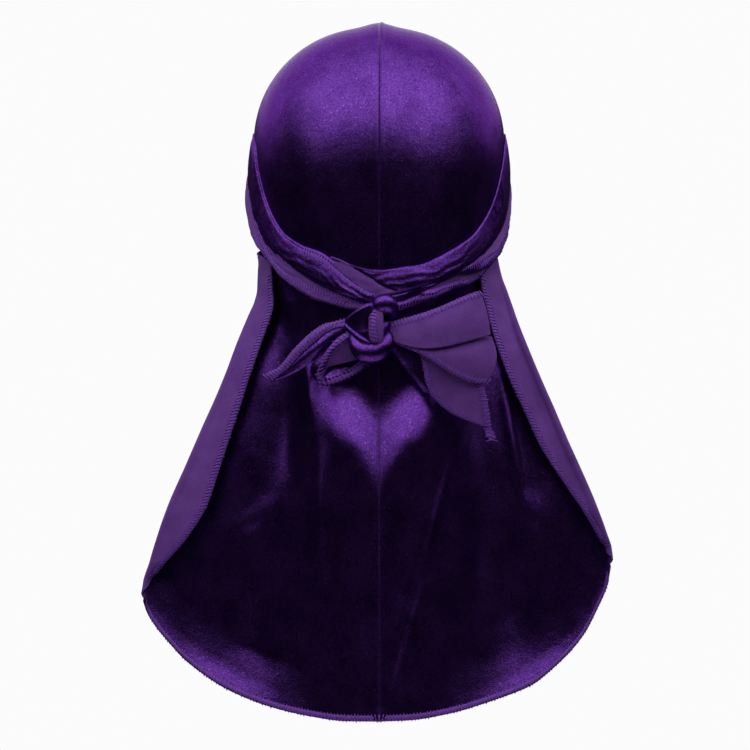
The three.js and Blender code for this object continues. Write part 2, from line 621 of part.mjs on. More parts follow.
// A tie as a ribbon on the head. side is 1 for the right tie, whose route is the left one's mirror image.
function tie(route, side) {
  const first = route[0].turn;
  const last = route[route.length - 1].turn;
  const sections = Math.round((last - first) / tieStep);
  const levelAt = (turn) => ringLevel(turn) + tieWidth * between(route, "turn", "shift", turn);
  const rings = [];
  for (let i = 0; i <= sections; i += 1) {
    const turn = mix(first, last, i / sections);
    const width = tieWidth * between(route, "turn", "width", turn);
    const layer = between(route, "turn", "layer", turn);
    const low = pieceGap + layer * (tieThickness * (1 + pleatRise) + pieceGap);
    const here = onHead(turn, levelAt(turn));
    const metre = here.clone().setZ(0).length() * degree;
    const slope = (levelAt(turn + 1) - levelAt(turn - 1)) / (2 * metre);
    const lean = 1 / Math.hypot(1, slope);
    const at = (share, lift) =>
      onHead(
        -side * (turn - (share * width * slope * lean) / (2 * metre)),
        levelAt(turn) + (share * width * lean) / 2,
        lift,
      );
    const across = 3 * tiePleats;
    const ring = [];
    for (let n = 0; n <= across; n += 1) {
      const share = (2 * n) / across - 1;
      const pleat = pleatRise * (0.5 - 0.5 * Math.cos((2 * Math.PI * tiePleats * n) / across));
      ring.push(at(share, low + tieThickness * (1 + pleat)));
    }
    for (let n = across; n >= 0; n -= 1) ring.push(at((2 * n) / across - 1, low));
    rings.push(side > 0 ? ring : ring.reverse());
  }
  return lofted(rings);
}

// Knot and free ends

// A flat strand through the rows of a table, with rounded sections.
function strand(rows, size) {
  const path = new THREE.CatmullRomCurve3(
    rows.map((r) => new THREE.Vector3(r.right, -r.out, r.up).multiplyScalar(size)),
  );
  const numbered = rows.map((r, n) => ({ ...r, n: n / (rows.length - 1) }));
  const steps = (rows.length - 1) * strandStep;
  const rings = [];
  const facing = new THREE.Vector3(0, -1, 0);
  for (let i = 0; i <= steps; i += 1) {
    const t = i / steps;
    const middle = path.getPoint(t);
    const tangent = path.getTangent(t);
    const across = new THREE.Vector3().crossVectors(tangent, facing);
    if (across.length() < 0.2) across.set(1, 0, 0);
    across.normalize().applyAxisAngle(tangent, between(numbered, "n", "roll", t) * degree);
    const out = new THREE.Vector3().crossVectors(across, tangent).normalize();
    const halfWidth = (size * between(numbered, "n", "width", t)) / 2;
    const halfThick = (size * between(numbered, "n", "thick", t)) / 2;
    const ring = [];
    for (let s = 0; s < strandSides; s += 1) {
      const angle = (2 * Math.PI * s) / strandSides;
      ring.push(
        middle
          .clone()
          .addScaledVector(across, halfWidth * Math.cos(angle))
          .addScaledVector(out, halfThick * Math.sin(angle)),
      );
    }
    rings.push(ring);
  }
  return lofted(rings);
}

const knot = () => fused(Object.values(knotStrands).map((rows) => strand(rows, knotSize)));

// A sheet of cloth through rows of points. The rows run downwards, and each row's points run to the right.
function cloth(rows, thickness) {
  const columns = rows[0].length;
  const outer = rows.flat();
  const faces = [];
  for (let r = 0; r + 1 < rows.length; r += 1) {
    for (let c = 0; c + 1 < columns; c += 1) {
      const a = r * columns + c;
      faces.push([a, a + columns, a + columns + 1], [a, a + columns + 1, a + 1]);
    }
  }
  const sheet = new THREE.BufferGeometry()
    .setAttribute("position", new THREE.Float32BufferAttribute(outer.flatMap((p) => [p.x, p.y, p.z]), 3))
    .setIndex(faces.flat());
  sheet.computeVertexNormals();
  const inner = outer.map((point, i) =>
    point.clone().addScaledVector(new THREE.Vector3().fromBufferAttribute(sheet.attributes.normal, i), -thickness),
  );
  return thickened(outer, inner, faces);
}

// What is left of the joined solids when the knot, grown by endClearance, is taken out of them.
function clearOfKnot(geometries, knotGeometry) {
  const grown = solidOf(knotGeometry.clone().scale(endClearance, endClearance, endClearance));
  const joined = geometries.map(solidOf).reduce((all, next) => all.add(next));
  const left = joined.subtract(grown).decompose();
  return geometryOf(left.reduce((most, next) => (next.volume() > most.volume() ? next : most)));
}

function rightEnd(knotGeometry) {
  const point = (right, up, out) => new THREE.Vector3(right, -out, up).multiplyScalar(knotSize);
  const upper = rightEndUpper.map((row) =>
    rightEndSection.map(({ way, out }) => {
      const below = Math.max(0, way - 1);
      const up = way < 1 ? mix(row.hem, row.crease, way) : mix(row.crease, row.lower, below);
      return point(row.right + row.swell * Math.sin(Math.PI * below), up, row.out + out);
    }),
  );
  const lower = rightEndLower.map((row) =>
    Array.from({ length: rightEndColumns + 1 }, (_, c) => {
      const across = c / rightEndColumns;
      return point(mix(row.left, row.right, across), row.up, row.out + 0.03 * Math.sin(Math.PI * across));
    }),
  );
  return clearOfKnot([cloth(turned(upper), tieThickness), cloth(lower, tieThickness)], knotGeometry);
}

const leftEnd = (knotGeometry) =>
  clearOfKnot(Object.values(leftEndStrands).map((rows) => strand(rows, knotSize)), knotGeometry);

// The same points with rows and columns exchanged.
const turned = (rows) => rows[0].map((_, c) => rows.map((row) => row[c]));

// Assembly

const velvet = () => new THREE.MeshStandardMaterial({ color: 0x2a1150, roughness: 0.85, metalness: 0 });

function piece(name, geometry) {
  const mesh = new THREE.Mesh(geometry, velvet());
  mesh.name = name;
  return mesh;
}

const durag = new THREE.Group();
durag.add(piece("panel_left", panel(-1)));
durag.add(piece("panel_right", panel(1)));
durag.add(piece("tie_left", tie(tieLeftRoute, -1)));
durag.add(piece("tie_right", tie(tieRightRoute, 1)));

const knotGroup = new THREE.Group();
const outermost = 3 * (tieThickness * (1 + pleatRise) + pieceGap);
knotGroup.position.copy(onHead(knotTurn, knotLevel, outermost + knotStandoff));
const knotGeometry = knot();
knotGroup.add(piece("knot", knotGeometry));
knotGroup.add(piece("tie_end_left", leftEnd(knotGeometry)));
knotGroup.add(piece("tie_end_right", rightEnd(knotGeometry)));
durag.add(knotGroup);

export default durag;
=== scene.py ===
import math
import bpy
import bmesh
import numpy as np
from mathutils import Matrix, Vector


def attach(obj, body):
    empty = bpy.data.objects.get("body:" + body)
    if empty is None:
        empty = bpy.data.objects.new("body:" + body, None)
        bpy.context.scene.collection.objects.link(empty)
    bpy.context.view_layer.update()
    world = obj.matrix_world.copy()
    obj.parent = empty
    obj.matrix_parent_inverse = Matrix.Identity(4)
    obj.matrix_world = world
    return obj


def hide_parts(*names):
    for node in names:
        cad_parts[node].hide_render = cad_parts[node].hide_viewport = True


# A velvet durag, seen from behind. Lengths below are millimetres on the head and the tail, as in the part's
# own source, and every mesh is made in metres.
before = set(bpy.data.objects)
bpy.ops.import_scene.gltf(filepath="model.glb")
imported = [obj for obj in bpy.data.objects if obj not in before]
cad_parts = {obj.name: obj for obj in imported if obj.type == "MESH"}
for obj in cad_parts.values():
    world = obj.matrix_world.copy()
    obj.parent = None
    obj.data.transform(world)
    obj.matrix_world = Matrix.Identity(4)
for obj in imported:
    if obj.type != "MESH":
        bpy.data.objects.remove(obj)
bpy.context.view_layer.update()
mm = 0.001
print("frame loaded:", len(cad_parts), "nodes")

camera = {"place": (-0.00248, -3.0, -0.1054), "lens": 232.26, "sensor": 36.0}
cameraData = bpy.data.cameras.new("camera")
cameraData.lens = camera["lens"]
cameraData.sensor_width = camera["sensor"]
cameraObject = bpy.data.objects.new("camera", cameraData)
cameraObject.location = camera["place"]
cameraObject.rotation_euler = (math.radians(90), 0, 0)
bpy.context.scene.collection.objects.link(cameraObject)
bpy.context.scene.camera = cameraObject


# Curves and blends

def bell(x):
    return np.exp(-np.square(x))


def mix(a, b, t):
    return a + (b - a) * t


def smooth(low, high, x):
    t = np.clip((x - low) / (high - low), 0, 1)  # falls where low is above high
    return t * t * (3 - 2 * t)


def between(rows, along, key, where):  # smooth values between the rows of a table, never past them
    places = np.array([row[along] for row in rows], float)
    values = np.array([row[key] for row in rows], float)
    slopes = np.diff(values) / np.diff(places)
    before, after = slopes[:-1], slopes[1:]
    product = before * after
    inner = np.where(product > 0, 2 * product / np.where(product > 0, before + after, 1), 0)
    tangents = np.concatenate([slopes[:1], inner, slopes[-1:]])
    where = np.clip(where, places[0], places[-1])
    i = np.clip(np.searchsorted(places, where, side="right") - 1, 0, len(places) - 2)
    span = places[i + 1] - places[i]
    t = (where - places[i]) / span
    return (
        (2 * t**3 - 3 * t**2 + 1) * values[i]
        + (t**3 - 2 * t**2 + t) * span * tangents[i]
        + (3 * t**2 - 2 * t**3) * values[i + 1]
        + (t**3 - t**2) * span * tangents[i + 1]
    )


def named(columns, rows):  # a table's rows by the names of its columns
    return [dict(zip(columns, row)) for row in rows]


def unit(vectors):
    return vectors / np.maximum(np.linalg.norm(vectors, axis=-1, keepdims=True), 1e-9)


def points(x, y, z):
    return np.stack(np.broadcast_arrays(x, y, z), axis=-1).astype(float)


# Head and ring of the ties

head = {
    "halfWidth": 80.2,
    "halfLength": 97,
    "height": 86,
    "widest": 24,
    "roundness": 2.2,
    "napeNarrowing": 0.15,
    "napeDrop": 88,
    "napeCurve": 1.4,
    "ringMiddle": 8,
    "ringTilt": 55,
    "rimDrop": 20,
    "tieWidth": 50,
    "tieBite": 3,
    "pressedReach": 1.4,  # of tieWidth, above the ring, until the ties press the crown no more
    "earFlapTurn": -97,
    "earFlapSpread": 12,
    "earFlapDrop": 44,
    "earFlapFlare": 0.12,
    "earFlapFrom": 1.4,  # of rimDrop, below the ring
}


def girth(z):
    rise = np.clip((z - head["widest"]) / head["height"], 0, 1)
    fall = np.maximum((head["widest"] - z) / head["napeDrop"], 0)
    dome = (1 - rise ** head["roundness"]) ** (1 / head["roundness"])
    return dome - head["napeNarrowing"] * fall ** head["napeCurve"]


def ringLevel(turn):
    return head["ringMiddle"] - head["ringTilt"] * np.cos(np.radians(turn))


def earFlap(turn):
    return bell((turn - head["earFlapTurn"]) / head["earFlapSpread"])


def rimLevel(turn):
    return ringLevel(turn) - head["rimDrop"] - head["earFlapDrop"] * earFlap(turn)


def stretched(turn, z):
    pressed = 1 - smooth(0, head["pressedReach"] * head["tieWidth"], z - ringLevel(turn))
    angle = np.radians(turn)
    share = girth(z) - (head["tieBite"] / head["halfWidth"]) * pressed * np.sin(angle) ** 2
    return points(head["halfWidth"] * share * np.sin(angle), -head["halfLength"] * share * np.cos(angle), z)


def onHead(turn, z, lift=0.0):  # lifted off the outer face of the stretched cloth
    turn, z, lift = np.broadcast_arrays(np.asarray(turn, float), z, lift)
    top = head["widest"] + head["height"]
    step = 0.4
    around = stretched(turn + step, z) - stretched(turn - step, z)
    rise = stretched(turn, np.minimum(z + step, top)) - stretched(turn, z - step)
    normal = unit(np.cross(around, rise))
    normal = np.where((girth(z) < 1e-3)[..., None], np.array([0.0, 0.0, 1.0]), normal)
    return stretched(turn, z) + normal * lift[..., None]


# Cloth made from shaped grids

def shapedGrid(bm, shape, columns, rows, face, size):  # shape maps shares across and along to a place in mm
    made = bmesh.ops.create_grid(bm, x_segments=columns, y_segments=rows, size=1, calc_uvs=False)["verts"]
    shares = np.array([(v.co.x, v.co.y) for v in made]) * 0.5 + 0.5
    places = shape(shares[:, 0], shares[:, 1]) * mm
    uvLayer = bm.loops.layers.uv.verify()
    corner = {}
    for vert, share, place in zip(made, shares, places):
        corner[vert] = (share[0] * size[0], share[1] * size[1])
        vert.co = place
    faces = {f for v in made for f in v.link_faces}
    for f in faces:
        f.material_index = face
        f.smooth = True
        for loop in f.loops:
            loop[uvLayer].uv = corner[loop.vert]
    return made


def meshObject(name, bm, materials):
    mesh = bpy.data.meshes.new(name)
    bm.to_mesh(mesh)
    bm.free()
    for material in materials:
        mesh.materials.append(material)
    made = bpy.data.objects.new(name, mesh)
    bpy.context.scene.collection.objects.link(made)
    return made


def clothObject(name, patches, thickness, materials, outward, weld=0.02):
    bm = bmesh.new()
    for patch in patches:
        shapedGrid(bm, *patch)
    bmesh.ops.remove_doubles(bm, verts=bm.verts, dist=weld * mm)
    bmesh.ops.dissolve_degenerate(bm, edges=bm.edges, dist=1e-7)
    bmesh.ops.recalc_face_normals(bm, faces=bm.faces)
    for island in islands(bm):  # each open sheet faces away from the head
        facing = sum(f.normal.dot(outward(f.calc_center_median())) * f.calc_area() for f in island)
        if facing < 0:
            bmesh.ops.reverse_faces(bm, faces=island)
    made = meshObject(name, bm, materials)
    wall = made.modifiers.new("wall", "SOLIDIFY")
    wall.thickness = thickness * mm
    wall.offset = -1
    wall.use_even_offset = False
    wall.use_rim = True
    return made


def islands(bm):
    left = set(bm.faces)
    while left:
        found = [left.pop()]
        for f in found:
            for edge in f.edges:
                for other in edge.link_faces:
                    if other in left:
                        left.remove(other)
                        found.append(other)
        yield found


def awayFromHead(place):  # outwards, and upwards on the crown
    return Vector((place.x, place.y, 0.35 * place.z if place.z > 0 else 0))


def backwards(place):  # the way that the tail's pile faces
    return Vector((0, -1, 0))


def forwards(place):
    return Vector((0, 1, 0))


# Overlock stitches: threads that run round the edge of the cloth

stitch = {
    "pitch": 2.0,
    "width": 4.0,
    "thread": 0.46,
    "slant": 0.6,
    "rounds": 8,
    "sides": 3,
    "proud": -0.1,
    "height": 0.5,
    "boundHeight": 0.25,
    "boundShare": 0.9,  # of the stitches' width, that the tube under them takes up
    "wobble": 0.12,
}


def stitchMesh():
    bm = bmesh.new()
    ring = bmesh.ops.create_circle(bm, segments=stitch["sides"], radius=stitch["thread"], cap_ends=False)
    turned = Matrix.Translation((1, 0, 0)) @ Matrix.Rotation(math.radians(90), 4, "X")
    bmesh.ops.transform(bm, matrix=turned, verts=ring["verts"])
    bmesh.ops.spin(
        bm,
        geom=bm.edges[:],
        cent=(0, 0, 0),
        axis=(0, 0, 1),
        angle=math.radians(360),
        steps=stitch["rounds"],
        use_merge=True,
    )
    bmesh.ops.remove_doubles(bm, verts=bm.verts, dist=1e-4)
    bmesh.ops.recalc_face_normals(bm, faces=bm.faces)
    mesh = bpy.data.meshes.new("stitch")
    bm.to_mesh(mesh)
    bm.free()
    return mesh


oneStitch = stitchMesh()


def hem(shape, along, side, start, end, wall, outward, way=0):
    # places, inward and normal directions of the stitches on one border of a shaped grid
    way = way or (1 if side < 0.5 else -1)
    t = np.linspace(start, end, 1200)
    fixed = np.full_like(t, side)
    edge = shape(t, fixed) if along == "across" else shape(fixed, t)
    inset = np.full_like(t, 0.01)
    for _ in range(3):  # until the nearby place is a stitch's width from the edge
        inside = side + way * inset
        nearby = shape(t, inside) if along == "across" else shape(inside, t)
        reach = np.linalg.norm(nearby - edge, axis=1)
        inset = np.clip(inset * stitch["width"] / np.maximum(reach, 0.01), 0.002, 0.4)
    gone = np.concatenate([[0], np.cumsum(np.linalg.norm(np.diff(edge, axis=0), axis=1))])
    count = max(2, int(gone[-1] / stitch["pitch"]))
    at = np.linspace(0, gone[-1], count)
    edgeAt = np.stack([np.interp(at, gone, edge[:, k]) for k in range(3)], axis=-1)
    inward = unit(np.stack([np.interp(at, gone, (nearby - edge)[:, k]) for k in range(3)], axis=-1))
    tangent = unit(np.gradient(edgeAt, axis=0))
    normal = unit(np.cross(tangent, inward))
    out = np.array([outward(Vector(p)) for p in edgeAt * mm])
    normal *= np.where((normal * out).sum(axis=1) < 0, -1.0, 1.0)[:, None]
    return edgeAt, inward, tangent, normal, wall


def boundEdge(bm, middle, across, rise):  # a flat tube of thread round the edge, under the loops
    def tube(u, v):
        at = u * (len(middle) - 1)
        place, wide, high = (
            np.stack([np.interp(at, np.arange(len(middle)), part[:, k]) for k in range(3)], axis=-1)
            for part in (middle, across, rise)
        )
        angle = 2 * math.pi * v
        closing = np.minimum(1, 40 * np.minimum(u, 1 - u) + 0.05)
        return place + (wide * np.cos(angle)[:, None] + high * np.sin(angle)[:, None]) * closing[:, None]

    made = shapedGrid(bm, tube, len(middle) - 1, 8, 0, (0.1, 0.004))
    bmesh.ops.remove_doubles(bm, verts=made, dist=0.0005 * mm)


def stitchObject(name, hems, material):
    bm = bmesh.new()
    places = []
    bounds = []
    unitShape = np.array([v.co[:] for v in oneStitch.vertices])
    rng = np.random.default_rng(7)
    for edge, inward, tangent, normal, wall in hems:
        half = stitch["width"] / 2
        middle = edge + inward * (half - stitch["proud"]) - normal * (wall / 2)
        boundRise = normal * (wall / 2 + stitch["boundHeight"])
        bounds.append((middle, inward * half * stitch["boundShare"], boundRise))
        wobble = 1 + stitch["wobble"] * rng.standard_normal(len(edge))
        for n in range(len(edge)):
            bm.from_mesh(oneStitch)
            across = inward[n] * half * wobble[n] + tangent[n] * stitch["slant"]
            rise = normal[n] * (wall / 2 + stitch["height"])
            along = tangent[n]
            places.append(middle[n] + unitShape @ np.array([across, rise, along]))
    for vert, place in zip(bm.verts, np.concatenate(places) * mm):
        vert.co = place
    for middle, across, rise in bounds:
        boundEdge(bm, middle, across, rise)
    for f in bm.faces:
        f.smooth = True
    bmesh.ops.recalc_face_normals(bm, faces=bm.faces)
    made = meshObject(name, bm, [material])
    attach(made, "root")
    return made


# Materials

def fill(tree, node, values):  # each value is a number, a colour or another node's output
    for key, value in values.items():
        if isinstance(value, bpy.types.NodeSocket):
            tree.links.new(value, node.inputs[key])
        else:
            node.inputs[key].default_value = value


def addNode(tree, kind, values=None, **settings):
    node = tree.nodes.new(kind)
    for key, value in settings.items():
        setattr(node, key, value)
    fill(tree, node, values or {})
    return node


def newMaterial(name):
    material = bpy.data.materials.new(name)
    material.use_nodes = True
    tree = material.node_tree
    return material, tree, tree.nodes["Principled BSDF"]


def objectPlace(tree):
    return addNode(tree, "ShaderNodeTexCoord").outputs["Object"]


def noise(tree, place, scale, detail, roughness=0.5):
    values = {"Vector": place, "Scale": scale, "Detail": detail, "Roughness": roughness}
    return addNode(tree, "ShaderNodeTexNoise", values).outputs["Fac"]


def ramp(tree, source, stops):
    node = addNode(tree, "ShaderNodeValToRGB", {"Fac": source})
    while len(node.color_ramp.elements) < len(stops):
        node.color_ramp.elements.new(0.5)
    for element, (place, colour) in zip(node.color_ramp.elements, stops):
        element.position = place
        element.color = (*colour, 1)
    return node.outputs["Color"]


def mapped(tree, source, values):
    return addNode(tree, "ShaderNodeMapRange", {"Value": source, **values}).outputs["Result"]


def blended(tree, way, first, second):
    values = {"Factor": 1.0, "A": first, "B": second}
    return addNode(tree, "ShaderNodeMix", values, data_type="RGBA", blend_type=way).outputs["Result"]


def bumped(tree, height, strength, depth, under=None):  # a bump, on top of another one where there is one
    values = {"Strength": strength, "Distance": depth, "Height": height}
    if under is not None:
        values["Normal"] = under
    return addNode(tree, "ShaderNodeBump", values).outputs["Normal"]


velvetLook = {
    "dark": (0.072, 0.019, 0.18),
    "light": (0.125, 0.038, 0.29),
    "shade": (0.42, 0.4, 0.44),
    "spark": (0.3, 0.16, 0.5),
    "metal": 0.97,
    "seamMetal": 0.6,
    "roughLow": 0.24,
    "roughHigh": 0.34,
    "napScale": 60.0,
    "crushScale": 210.0,
    "pileScale": 1400.0,
    "grainScale": 1000.0,
    "napBump": (0.18, 0.002),  # strength, and depth in metres
    "crushBump": 0.8,
    "pileBump": (0.35, 0.0004),
    "grainBump": (0.18, 0.0004),
    "layTop": -0.06,  # between these heights the pile leans down
    "layBottom": -0.36,
    "sheen": 0.02,
    "sheenTint": (0.45, 0.22, 0.8, 1),
    "edgeTint": (0.59, 0.44, 0.75, 1),
}


def velvetMaterial(name, napLean, crushed, seamWidth):
    # napLean: how far the pile leans down the tail, as a slope; crushed: depth of the crushed patches, and
    # seamWidth: half width of the parted pile in the middle, both in metres
    look = velvetLook
    material, tree, shader = newMaterial(name)
    place = objectPlace(tree)
    parts = addNode(tree, "ShaderNodeSeparateXYZ", {"Vector": place})
    nap = noise(tree, place, look["napScale"], 4, 0.6)
    crush = noise(tree, place, look["crushScale"], 4, 0.55)
    pile = noise(tree, place, look["pileScale"], 3, 0.6)
    grain = noise(tree, place, look["grainScale"], 2, 0.6)
    colour = ramp(tree, nap, [(0.3, look["dark"]), (0.72, look["light"])])
    shade = ramp(tree, grain, [(0.34, look["shade"]), (0.66, (1.0, 1.0, 1.0))])
    spark = ramp(tree, grain, [(0.7, (0, 0, 0)), (0.78, look["spark"])])
    lay = mapped(tree, parts.outputs["Z"], {"From Min": look["layBottom"], "From Max": look["layTop"]})
    beside = addNode(tree, "ShaderNodeMath", {0: parts.outputs["X"]}, operation="ABSOLUTE").outputs["Value"]
    metal = {"From Max": seamWidth, "To Min": look["seamMetal"], "To Max": look["metal"]}
    normal = bumped(tree, lay, 1.0, napLean * (look["layTop"] - look["layBottom"]))
    normal = bumped(tree, nap, *look["napBump"], normal)
    normal = bumped(tree, crush, look["crushBump"], crushed, normal)
    normal = bumped(tree, pile, *look["pileBump"], normal)
    normal = bumped(tree, grain, *look["grainBump"], normal)
    fill(tree, shader, {
        "Base Color": blended(tree, "ADD", blended(tree, "MULTIPLY", colour, shade), spark),
        "Roughness": mapped(tree, nap, {"To Min": look["roughLow"], "To Max": look["roughHigh"]}),
        "Metallic": mapped(tree, beside, metal),
        "Normal": normal,
        "Specular Tint": look["edgeTint"],
        "Sheen Weight": look["sheen"],
        "Sheen Roughness": 0.4,
        "Sheen Tint": look["sheenTint"],
    })
    return material


liningLook = {
    "dark": (0.078, 0.023, 0.165),
    "light": (0.112, 0.036, 0.222),
    "knitScale": 1100.0,
    "cloudScale": 70.0,
    "fleck": 0.35,
    "knitBump": (0.4, 0.0003),
}


def liningMaterial():
    look = liningLook
    material, tree, shader = newMaterial("lining")
    place = objectPlace(tree)
    cloud = noise(tree, place, look["cloudScale"], 4)
    knit = noise(tree, place, look["knitScale"], 2)
    fleck = mapped(tree, knit, {"To Min": -look["fleck"], "To Max": look["fleck"]})
    blotch = addNode(tree, "ShaderNodeMath", {0: cloud, 1: fleck}, operation="ADD").outputs["Value"]
    fill(tree, shader, {
        "Base Color": ramp(tree, blotch, [(0.3, look["dark"]), (0.7, look["light"])]),
        "Normal": bumped(tree, knit, *look["knitBump"]),
        "Roughness": 0.85,
        "Sheen Weight": 0.06,
        "Sheen Tint": (0.5, 0.25, 0.8, 1),
        "Specular IOR Level": 0.2,
    })
    return material


threadLook = {
    "dark": (0.075, 0.02, 0.19),
    "light": (0.2, 0.066, 0.42),
    "plyScale": 2200.0,
    "plyBump": (0.4, 0.0002),
}


def threadMaterial():
    look = threadLook
    material, tree, shader = newMaterial("thread")
    place = objectPlace(tree)
    ply = noise(tree, place, look["plyScale"], 1)
    fill(tree, shader, {
        "Base Color": ramp(tree, ply, [(0.35, look["dark"]), (0.65, look["light"])]),
        "Normal": bumped(tree, ply, *look["plyBump"]),
        "Roughness": 0.6,
        "Specular IOR Level": 0.15,
        "Sheen Weight": 0.06,
        "Sheen Tint": (0.6, 0.3, 0.9, 1),
    })
    return material


velvet = velvetMaterial("velvet", 0.15, 0.00016, 0.0009)
tieVelvet = velvetMaterial("tieVelvet", 0.0, 0.00045, 0.00001)
lining = liningMaterial()
thread = threadMaterial()
print("materials made")


# Panels: half of the crown and half of the tail each

panels = {
    "thickness": 1.1,
    "seamPeak": 2.4,
    "seamPeakWidth": 9,
    "seamGroove": 0.9,
    "seamLip": 0.7,
    "seamLipPlace": 1.8,
    "seamLipWidth": 1.1,
    "seamGrooveWidth": 1.3,
    "seamGrooveFade": (4, 20),  # below the crown's top
    "clearOfTies": (0.75, 1.2),  # of tieWidth, above the ring, where the crown's relief sets in
    "tailTurn": 80,
    "tailDrop": 246,
    "tailHalfWidth": 144,
    "leftCorner": -243,
    "rightCorner": -222,
    "tailSweep": 22,
    "cornerSwing": 0.6,
    "cornerSwingCurve": 1.3,
    "tailWrap": 44,
    "wrapTop": 0.95,  # share of tailWrap at the rim, and at the hem
    "wrapBottom": 0.92,
    "rollRadius": 4,
    "leastRadius": 0.8,
    "rollReach": 1.6,
    "rollLean": 1.2,
    "rollWidth": 20,
    "curlEnd": 0.955,  # share of the drop from which the curl runs out to the corner
    "sourceThickness": 1.4,
    "crownRows": 104,
    "frontColumns": 64,
    "backColumns": 100,
    "tailRows": 150,
    "curlColumns": 16,
    "flatColumns": 8,
}

# The tail's outline on its way down, as shares of the half width at the corners, and how wide the curl of
# each side edge shows, in shares of rollWidth.
tailOutline = named(("drop", "left", "right", "rollLeft", "rollRight"), [
    (0.0, 0.5, 0.49, 0.4, 0.4),
    (0.06, 0.515, 0.505, 0.5, 0.6),
    (0.12, 0.518, 0.523, 0.55, 0.73),
    (0.155, 0.53, 0.541, 0.66, 0.82),
    (0.195, 0.556, 0.56, 0.76, 0.85),
    (0.27, 0.602, 0.596, 0.79, 0.91),
    (0.35, 0.646, 0.64, 0.8, 0.97),
    (0.435, 0.699, 0.69, 0.88, 1.0),
    (0.52, 0.757, 0.743, 0.98, 0.98),
    (0.62, 0.822, 0.803, 1.08, 0.95),
    (0.725, 0.893, 0.87, 1.2, 0.77),
    (0.82, 0.944, 0.927, 0.94, 0.52),
    (0.9, 0.98, 0.965, 0.45, 0.3),
    (0.95, 0.997, 0.982, 0.14, 0.1),
    (1.0, 1.0, 0.98, 0.0, 0.0),
])

# The hem from the seam to the corner, as a share of the way down from the corner to the lowest point.
hemOutline = named(("across", "left", "right"), [
    (0.0, 1.0, 1.0),
    (0.13, 0.998, 0.992),
    (0.3, 0.955, 0.951),
    (0.48, 0.872, 0.876),
    (0.65, 0.732, 0.78),
    (0.75, 0.61, 0.668),
    (0.83, 0.484, 0.554),
    (0.89, 0.355, 0.437),
    (0.94, 0.238, 0.292),
    (0.98, 0.115, 0.155),
    (1.0, 0.0, 0.0),
])

# Soft folds of the tail: share of the half width from the seam, negative on the left, its half width as such
# a share, its rise in shares of the sweep, the share of the drop where it is highest and its fading.
tailFolds = named(("across", "spread", "rise", "at", "fade"), [
    (-0.5, 0.07, 0.1, 0.3, 0.28),
    (-0.62, 0.14, -0.16, 0.72, 0.2),
    (0.66, 0.14, -0.16, 0.76, 0.2),
    (-0.66, 0.34, 0.14, 1.03, 0.07),
    (0.62, 0.3, 0.13, 1.03, 0.07),
])

# How far the tail swings out behind the nape on its way down, as a share of the sweep: beside its middle, and
# on the seam below the swell.
tailSwing = named(("down", "beside", "below"), [
    (0.0, 0.0, 0.0),
    (0.1, -0.12, 0.02),
    (0.3, -0.2, -0.04),
    (0.5, -0.04, -0.04),
    (0.64, 0.02, -0.04),
    (0.88, -0.06, -0.04),
    (0.94, 0.0, -0.02),
    (1.0, 0.2, 0.04),
])

# The swell below the knot, a step outwards in a V that is lowest at the seam.
swell = {
    "rise": 19.5,
    "start": 0.205,
    "slope": 0.235,
    "round": 0.045,
    "length": 0.2,
    "taper": 0.06,
    "taperWidth": 0.1,
    "quick": 0.85,  # below 1 it sets in faster than it ends
    "width": 0.2,
    "fade": 0.72,
}

# Folds that hang down the tail, in shares of the half width at the corners from the seam, negative on the
# left, and of the tail's height, with their rise in millimetres.
hangingFolds = named(("top", "bottom", "start", "end", "spread", "rise"), [
    (-0.34, -0.27, 0.0, 0.34, 0.03, 3.6),
    (-0.42, -0.36, 0.05, 0.5, 0.05, -2.2),
    (-0.25, -0.25, 0.2, 0.66, 0.035, 3.4),
    (-0.19, -0.13, 0.3, 0.85, 0.04, -1.6),
    (-0.58, -0.7, 0.28, 1.3, 0.1, 4.4),
    (-0.44, -0.6, 0.44, 0.56, 0.06, 1.4),
    (-0.06, -0.05, 0.42, 0.95, 0.022, 1.0),
    (0.34, 0.0, 0.28, 1.0, 0.014, 2.0),
    (0.17, 0.1, 0.45, 0.9, 0.05, -1.6),
    (0.50, 0.62, 0.1, 0.52, 0.022, 3.2),
    (0.40, 0.42, 0.3, 0.8, 0.05, -2.2),
    (0.60, 0.7, 0.42, 0.56, 0.07, 1.4),
    (0.6, 0.72, 0.4, 1.3, 0.1, 3.6),
])

# Gathers of the crown beside the ties: degrees round from the seam, half width in degrees, rise in
# millimetres, and the shares of the crown's height where each is highest and over which it fades.
crownGathers = named(("turn", "spread", "rise", "at", "fade"), [
    (74, 3.5, 1.0, 0.24, 0.3),
    (64, 4, -0.8, 0.16, 0.26),
    (56, 4, 0.7, 0.05, 0.22),
    (-72, 4, 0.5, 0.2, 0.24),
])


def clearOfTies(turn, z):
    low, high = panels["clearOfTies"]
    return smooth(low * head["tieWidth"], high * head["tieWidth"], z - ringLevel(turn))


